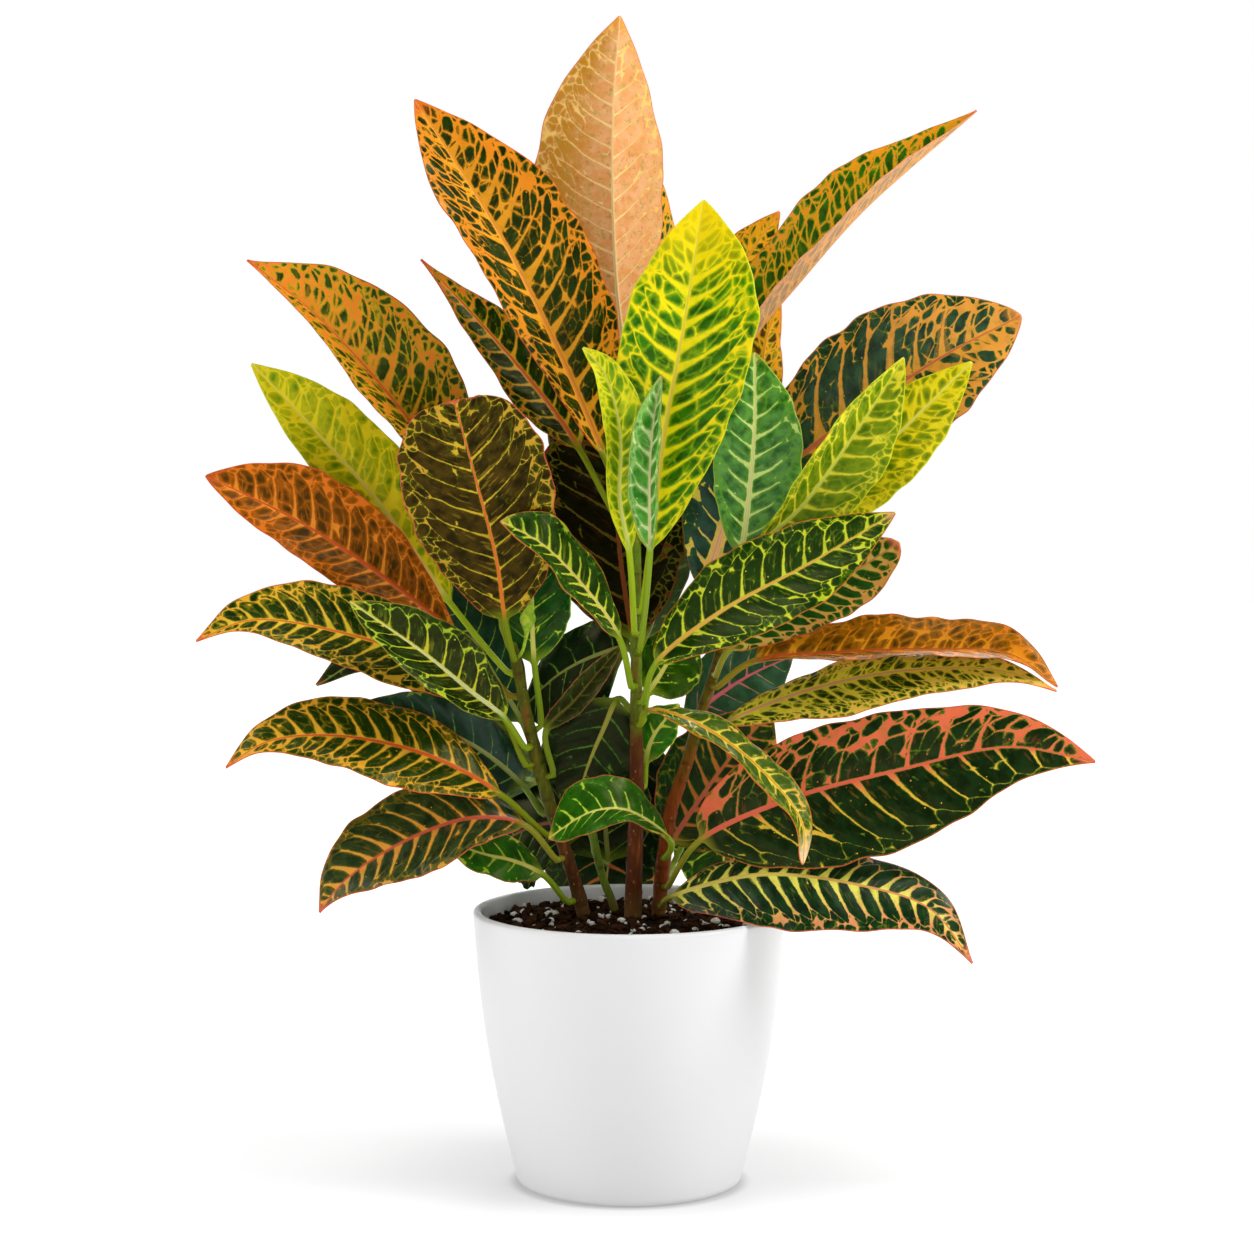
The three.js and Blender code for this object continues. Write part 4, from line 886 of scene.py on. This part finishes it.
class CROTON_OT_soil(bpy.types.Operator):
    """Raise the potting mix from the pot's floor, roughen its top, and strew it with bark chips and grains"""
    bl_idname = "croton.make_soil"
    bl_label = "Make soil"

    def execute(self, context):
        settings = context.scene.croton_soil
        pot = context.scene.croton_pot
        wall = pot.wall / MM
        inner = wall_radius(SOIL_EDGE, pot) - wall - 0.5
        low = wall_radius(9, pot) - wall - 1.5
        under = POT_FLOOR + 0.3
        rings = []
        profile = [(low * 0.3, under), (low, under)]
        profile += [(wall_radius(z, pot) - wall - SOIL_GAP, z) for z in (25, 50, 75, 100, 125, 138)]
        profile += [(inner * (1 - k / SOIL_RINGS), None) for k in range(SOIL_RINGS)]
        turns = np.linspace(0, 2 * math.pi, 180, endpoint=False)
        for radius, z in profile:
            ring = []
            for turn in turns:
                x, y = radius * math.cos(turn), radius * math.sin(turn)
                ring.append((x, y, soil_height(x, y, settings.lumps) if z is None else z))
            rings.append(ring)
        f = Finish("potting_mix", 0.95, 0.06)
        place = f.place()
        dark = f.rise(f.noise(place, 260.0, 4.0, 0.6), 0.35, 0.65)
        tone = f.blend(dark, colour("#120904"), colour("#34200f"))
        f.paint(f.blend(f.rise(f.noise(place, 900.0, 2.0), 0.62, 0.7, 0.0, 0.6), tone, colour("#5e3e22")))
        f.bump(f.noise(place, 700.0, 4.0, 0.7), 0.0012, 0.9)
        finish_piece(rolled_skin(rings), "potting_mix", f.material, "soil")
        self.strew(settings, inner)
        return {"FINISHED"}

    def strew(self, settings, inner):
        """Scatter chips and grains over the surface, clear of the stems."""
        rng = random.Random(11)
        stems = [points[1] for points in STEMS.values()]
        for name, count, sizes, white in (("bark_chips", settings.chips, (1.1, 4.0), False),
                                          ("white_grains", settings.grains, (1.0, 2.9), True)):
            deselect()
            pieces = []
            for k in range(count):
                while True:
                    reach = inner * math.sqrt(rng.random()) - WALL_CLEAR
                    turn = rng.random() * 2 * math.pi
                    x, y = reach * math.cos(turn), reach * math.sin(turn)
                    if reach > 0 and all(math.hypot(x - s[0], y - s[1]) > s[3] + STEM_CLEAR for s in stems):
                        break
                size = rng.uniform(*sizes) * (1.0 if rng.random() < 1 - LARGE_SHARE else LARGE)
                pieces.append(self.scrap(rng, white, size, (x, y, soil_height(x, y, settings.lumps))))
            points = np.concatenate([p for p, _ in pieces])
            faces, base = [], 0
            for p, quads in pieces:
                faces += [tuple(i + base for i in q) for q in quads]
                base += len(p)
            mesh = bpy.data.meshes.new(name)
            mesh.from_pydata((points * MM).tolist(), [], faces)
            piece = bpy.data.objects.new(name, mesh)
            bpy.context.scene.collection.objects.link(piece)
            tones = mesh.attributes.new("tone", "FLOAT", "POINT")
            values = np.concatenate([np.full(len(p), rng.random()) for p, _ in pieces])
            tones.data.foreach_set("value", values.astype(np.float32))
            if white:
                for polygon in mesh.polygons:
                    polygon.use_smooth = True
            f = Finish(name + "_finish", 0.9, 0.1)
            place = f.place()
            tone = f.attribute("tone", "Fac")
            grain = f.noise(place, 1300.0 if white else 800.0, 3.0)
            if white:
                skin = f.blend(f.rise(grain, 0.35, 0.7), colour("#d4cec2"), colour("#ffffff"))
                f.paint(f.blend(f.times(tone, 0.2), skin, colour("#c8b8a0")))
            else:
                skin = f.blend(tone, colour("#0e0602"), colour("#45270f"))
                f.paint(f.blend(f.rise(grain, 0.55, 0.75, 0.0, 0.5), skin, colour("#704626")))
            f.bump(grain, 0.0006, 0.8)
            finish_piece(piece, name, f.material)

    def scrap(self, rng, white, size, place):
        """One chip or grain: points and faces of a small uneven lump."""
        if white:
            rows = [(0.0, 1.0), (0.55, 0.8), (0.95, 0.25), (0.9, -0.35), (0.5, -0.85), (0.0, -1.0)]
            sides = 7
        else:
            rows = [(0.0, 0.9), (0.75, 0.8), (1.0, 0.0), (0.7, -0.8), (0.0, -0.9)]
            sides = 5
        points, faces = [], []
        stretch = (1.0, 0.85, 0.75) if white else (1.3, rng.uniform(0.4, 0.8), rng.uniform(0.25, 0.5))
        turn = Matrix.Rotation(rng.random() * 6.3, 3, "Z")
        for axis in "XY":
            turn = turn @ Matrix.Rotation(rng.uniform(-0.7, 0.7), 3, axis)
        for radius, z in rows:
            for k in range(sides if radius else 1):
                a = 2 * math.pi * k / sides
                r = radius * rng.uniform(0.78, 1.15)
                p = Vector((r * math.cos(a) * stretch[0], r * math.sin(a) * stretch[1], z * stretch[2])) * size
                points.append(tuple(turn @ p + Vector(place) + Vector((0, 0, size * 0.15))))
        for k in range(sides):
            faces.append((0, 1 + k, 1 + (k + 1) % sides))
        for i in range(len(rows) - 3):
            a, b = 1 + i * sides, 1 + (i + 1) * sides
            for k in range(sides):
                n = (k + 1) % sides
                faces.append((a + k, b + k, b + n, a + n))
        last, a = len(points) - 1, 1 + (len(rows) - 3) * sides
        for k in range(sides):
            faces.append((last, a + (k + 1) % sides, a + k))
        return np.array(points), faces


STEM_SIDES, STEM_ROW = 28, 1.1      # points round a stem, and the distance between its rings
LOWEST_SCAR, SCAR_STEP, SCAR_STRAY, SCARS = 152, 8.5, 2.5, 26
SWELLING = 2.6        # half height of the swelling where a leaf leaves its stem


class CROTON_OT_stems(bpy.types.Operator):
    """Roll each stem along its line, swollen where a leaf leaves it and ringed with old leaf scars"""
    bl_idname = "croton.make_stems"
    bl_label = "Make stems"

    def execute(self, context):
        settings = context.scene.croton_stems
        for stem, line in STEM_LINES.items():
            woody = stem != "low"
            bark, young = (tuple(getattr(settings, stem + part)) for part in ("_bark", "_young"))
            f = Finish("bark_" + stem, 0.5, 0.16, colour("#ffdf9a"))
            place = f.place()
            x, y, z = f.split(place)
            height = f.sum(z, f.times(f.sway(place, 60.0, 3.0), 0.05))
            green_share = f.rise(height, (GREEN_FROM[stem] - 22) * MM, (GREEN_FROM[stem] + 26) * MM)
            skin = f.blend(green_share, bark, young)
            long = f.join(f.times(x, 5.0), f.times(y, 5.0), f.times(z, 0.9))
            streak = f.rise(f.noise(long, 120.0, 4.0, 0.6), 0.35, 0.68)
            skin = f.blend(f.times(streak, 0.5), skin, colour("#3a2214" if woody else "#3f5a1c"))
            warm = f.rise(f.noise(long, 60.0, 3.0), 0.5, 0.75, 0.0, 0.5)
            skin = f.blend(warm, skin, colour("#a8562c" if woody else "#93a83a"))
            foot = f.rise(z, 0.145, 0.165, 0.55, 0.0)
            skin = f.blend(foot, skin, colour("#8a6a3a"))
            scar = f.attribute("scar", "Fac")
            skin = f.blend(f.times(scar, 0.75), skin, colour("#3d2617"))
            dot = f.rise(f.cells(f.join(x, y, f.times(z, 0.6)), 330.0, "F1"), 0.1, 0.18, 0.5, 0.0)
            f.paint(f.blend(dot, skin, colour("#b08a60")))
            f.gloss(f.rise(streak, 0.0, 1.0, 0.42, 0.6))
            f.bump(f.sum(f.noise(long, 240.0, 3.0), f.times(dot, 0.6), f.times(scar, -0.4)), 0.0006, 0.6)
            node = "stem_" + stem if woody else "shoot_low"
            rings, scars = self.rings(stem, line)
            piece = rolled_skin(rings, {"scar": scars})
            finish_piece(piece, "wood_" + stem, f.material, node)
        return {"FINISHED"}

    def rings(self, stem, line):
        """Rings of points up a stem, and how deep in an old leaf scar each point lies."""
        joints = [leaf["at"] for name, leaf in LEAVES.items() if name.split("_")[0] == stem]
        rng = random.Random(len(stem))
        scars = [(LOWEST_SCAR + SCAR_STEP * k + rng.uniform(-SCAR_STRAY, SCAR_STRAY),
                  rng.random() * 2 * math.pi) for k in range(SCARS)]
        rows = max(40, round(line.length / STEM_ROW))
        turns = np.linspace(0, 2 * math.pi, STEM_SIDES, endpoint=False)
        rings, marks = [], []
        for i in range(rows + 1):
            u = line.by_length(i / rows)
            centre, tangent = line.at(u), line.tangent(u)
            side = Vector((1, 0, 0)).cross(tangent).normalized()
            front = tangent.cross(side)
            radius = stem_radius(stem, u)
            swell = max([0.0] + [math.exp(-((centre.z - z) / SWELLING) ** 2) for z in joints])
            ring, mark = [], []
            for turn in turns:
                scar = sum(math.exp(-((centre.z - z) / 0.8) ** 2) * max(0.0, math.cos(turn - a)) ** 2
                           for z, a in scars if abs(centre.z - z) < 4)
                shelf = sum(math.exp(-((centre.z - z + 1.6) / 1.5) ** 2) * max(0.0, math.cos(turn - a)) ** 2
                            for z, a in scars if abs(centre.z - z) < 6)
                r = radius * (1 + 0.10 * swell + 0.07 * min(1.0, shelf) - 0.04 * min(1.0, scar))
                r *= 1 + 0.03 * noise.noise(Vector((math.cos(turn) * 2, math.sin(turn) * 2, centre.z * 0.12)))
                if i == rows:
                    r *= 0.55
                ring.append(tuple(centre + side * (r * math.cos(turn)) + front * (r * math.sin(turn))))
                mark.append(min(1.0, scar + 0.3 * swell))
            rings.append(ring)
            marks.append(mark)
        return rings, marks


class CROTON_OT_leaves(bpy.types.Operator):
    """Roll every leaf of one stem from its petiole to its tip and give it its vein pattern"""
    bl_idname = "croton.make_leaves"
    bl_label = "Make leaves"

    stem: bpy.props.EnumProperty(name="Stem", description="The stem that carries them", items=[
        (name, name.title(), "") for name in STEMS])

    def execute(self, context):
        sizes = context.scene.croton_leaves
        for name, leaf in LEAVES.items():
            if name.split("_")[0] != self.stem:
                continue
            look = {**USUAL, **PALETTES[leaf["look"]]}
            look.update({k: v for k, v in leaf.items() if k in look})
            rings, values = leaf_rings(name, look, sizes)
            piece = rolled_skin(rings, values)
            node = "leaf_" + name
            finish_piece(piece, "croton_" + name, leaf_finish("veins_" + name, look), node)
        return {"FINISHED"}


BUD, BUD_STALK = 3.4, 0.9     # radii
BUD_AT = 0.72         # how far along its stalk the bud is thickest
BUD_RINGS = 40


class CROTON_OT_bud(bpy.types.Operator):
    """Roll the small lime bud on its thin stalk beside the left stem"""
    bl_idname = "croton.make_bud"
    bl_label = "Make bud"

    def execute(self, context):
        point, _, radius = stem_at("left", 286)
        line = Line([point, (-57, -16, 292), (-55, -18, 300), (-54, -19, 310), (-52, -20, 320)])
        rings = []
        for k in range(BUD_RINGS + 1):
            share = k / BUD_RINGS
            u = line.by_length(share)
            centre, tangent = line.at(u), line.tangent(u)
            side = tangent.cross(Vector((0, 1, 0))).normalized()
            front = side.cross(tangent)
            swell = math.exp(-((share - BUD_AT) / 0.14) ** 2)
            r = BUD_STALK + BUD * swell if share < 0.99 else 0.3
            rings.append([tuple(centre + side * (r * math.cos(a)) + front * (r * 0.6 * math.sin(a)))
                          for a in np.linspace(0, 2 * math.pi, 20, endpoint=False)])
        f = Finish("bud_skin", 0.4, 0.16, colour("#fff4b0"))
        place = f.place()
        f.paint(f.blend(f.rise(f.noise(place, 300.0, 3.0), 0.35, 0.65), colour("#7fa82a"), colour("#b4c83c")))
        f.bump(f.noise(place, 500.0, 3.0), 0.0004, 0.4)
        finish_piece(rolled_skin(rings), "bud_left", f.material)
        return {"FINISHED"}


# The stage, in metres. Lights: name, place, size and power as a share of the key light's.
FLOOR_SIZE = 9
LIGHTS = (("key", (1.75, -0.5, 1.7), 1.0, 1.0), ("fill", (-1.75, -0.5, 1.3), 1.2, 0.42),
          ("top", (0.2, -0.3, 2.4), 1.2, 0.28), ("back", (0.3, 1.6, 1.6), 1.0, 0.5))
LIT = Vector((0, 0, 0.33))   # where the lights point
SENSOR, LENS = 36, 89.8      # millimetres
EYE = (-0.0011, -1.685, 0.433)
EYE_TILT = 85.6              # degrees up from straight down


class CROTON_OT_stage(bpy.types.Operator):
    """Lay the pale, glowing floor, dimmed round the pot as a painted shadow, and set the soft lights and the
    camera
    """
    bl_idname = "croton.set_stage"
    bl_label = "Set stage"

    def execute(self, context):
        settings = context.scene.croton_stage
        deselect()
        bpy.ops.mesh.primitive_plane_add(size=FLOOR_SIZE, location=(0, 0, 0))
        floor = context.object
        floor.name = "floor"
        f = Finish("floor_finish", 0.9)
        f.paint(tuple(settings.floor))
        f.shader.inputs["Emission Color"].default_value = (1.0, 1.0, 1.0, 1.0)
        # The floor glows. Its glow is least beside the pot and rises outwards: a painted shadow round the pot,
        # reaching further behind and to the sides than in front.
        x, y, _ = f.split(f.place())
        far = f.math("SQRT", f.sum(f.times(x, x), f.times(y, y)))
        reach = f.sum(far, f.times(f.math("MAXIMUM", f.times(y, -1.0), 0.0), 0.9))
        floor_glow_and_painted_shadow = f.sum(f.rise(reach, 0.05, 0.2, settings.floor_glow_and_painted_shadow, 0.72), f.rise(reach, 0.18, 0.6, 0.0, 0.3))
        # Round the edge of the foot the glow drops to 0.6 of itself: a painted contact shadow under the pot.
        f.feed(f.shader.inputs["Emission Strength"], f.times(floor_glow_and_painted_shadow, f.rise(far, 0.06, 0.068, 0.6, 1.0)))
        floor.data.materials.append(f.material)
        world = bpy.data.worlds.new("studio")
        world.use_nodes = True
        tree = world.node_tree
        direction = tree.nodes.new("ShaderNodeTexCoord")
        parts = tree.nodes.new("ShaderNodeSeparateXYZ")
        ramp = tree.nodes.new("ShaderNodeValToRGB")
        stops = ramp.color_ramp.elements
        stops[0].position, stops[0].color = 0.14, (1, 1, 1, 1)
        stops[1].position, stops[1].color = 1.0, (1, 1, 1, 1)
        for height in (0.27, 0.8):
            stops.new(height).color = (settings.sky, settings.sky, settings.sky, 1)
        tree.links.new(direction.outputs["Generated"], parts.inputs[0])
        tree.links.new(parts.outputs[2], ramp.inputs[0])
        tree.links.new(ramp.outputs[0], tree.nodes["Background"].inputs[0])
        context.scene.world = world
        for name, place, size, share in LIGHTS:
            light = bpy.data.lights.new(name, "AREA")
            light.energy = settings.key * share
            light.size = size
            lamp = bpy.data.objects.new(name, light)
            lamp.location = place
            lamp.rotation_euler = (LIT - Vector(place)).to_track_quat("-Z", "Y").to_euler()
            context.scene.collection.objects.link(lamp)
        camera = bpy.data.cameras.new("camera")
        camera.sensor_width = SENSOR
        camera.lens = LENS
        eye = bpy.data.objects.new("camera", camera)
        eye.location = EYE
        eye.rotation_euler = (math.radians(EYE_TILT), 0, 0)
        context.scene.collection.objects.link(eye)
        context.scene.camera = eye
        context.scene.view_settings.view_transform = "Standard"
        return {"FINISHED"}


class CROTON_PT_panel(bpy.types.Panel):
    """The croton's pieces, in the order in which they are made"""
    bl_idname = "CROTON_PT_panel"
    bl_label = "Potted croton"
    bl_space_type = "VIEW_3D"
    bl_region_type = "UI"
    bl_category = "Croton"

    def draw(self, context):
        layout = self.layout
        for settings, operator in (("croton_pot", "croton.make_pot"), ("croton_soil", "croton.make_soil"),
                                   ("croton_stems", "croton.make_stems"),
                                   ("croton_leaves", "croton.make_leaves"),
                                   ("croton_stage", "croton.set_stage")):
            box = layout.box()
            group = getattr(context.scene, settings)
            for name in group.__annotations__:
                box.prop(group, name)
            box.operator(operator)
        layout.operator("croton.make_bud")


SETTINGS = {"croton_pot": PotSettings, "croton_soil": SoilSettings, "croton_stems": StemSettings,
            "croton_leaves": LeafSettings, "croton_stage": StageSettings}
OPERATORS = (CROTON_OT_pot, CROTON_OT_soil, CROTON_OT_stems, CROTON_OT_leaves, CROTON_OT_bud,
             CROTON_OT_stage)


def register():
    for cls in (*SETTINGS.values(), *OPERATORS, CROTON_PT_panel):
        bpy.utils.register_class(cls)
    for name, cls in SETTINGS.items():
        setattr(bpy.types.Scene, name, bpy.props.PointerProperty(type=cls))


def unregister():
    for name in SETTINGS:
        delattr(bpy.types.Scene, name)
    for cls in (CROTON_PT_panel, *OPERATORS, *SETTINGS.values()):
        bpy.utils.unregister_class(cls)


def main():
    register()
    bpy.ops.croton.set_stage()
    bpy.ops.croton.make_pot()
    bpy.ops.croton.make_soil()
    bpy.ops.croton.make_stems()
    for stem in STEMS:
        bpy.ops.croton.make_leaves(stem=stem)
    bpy.ops.croton.make_bud()


if __name__ == "__main__":
    main()
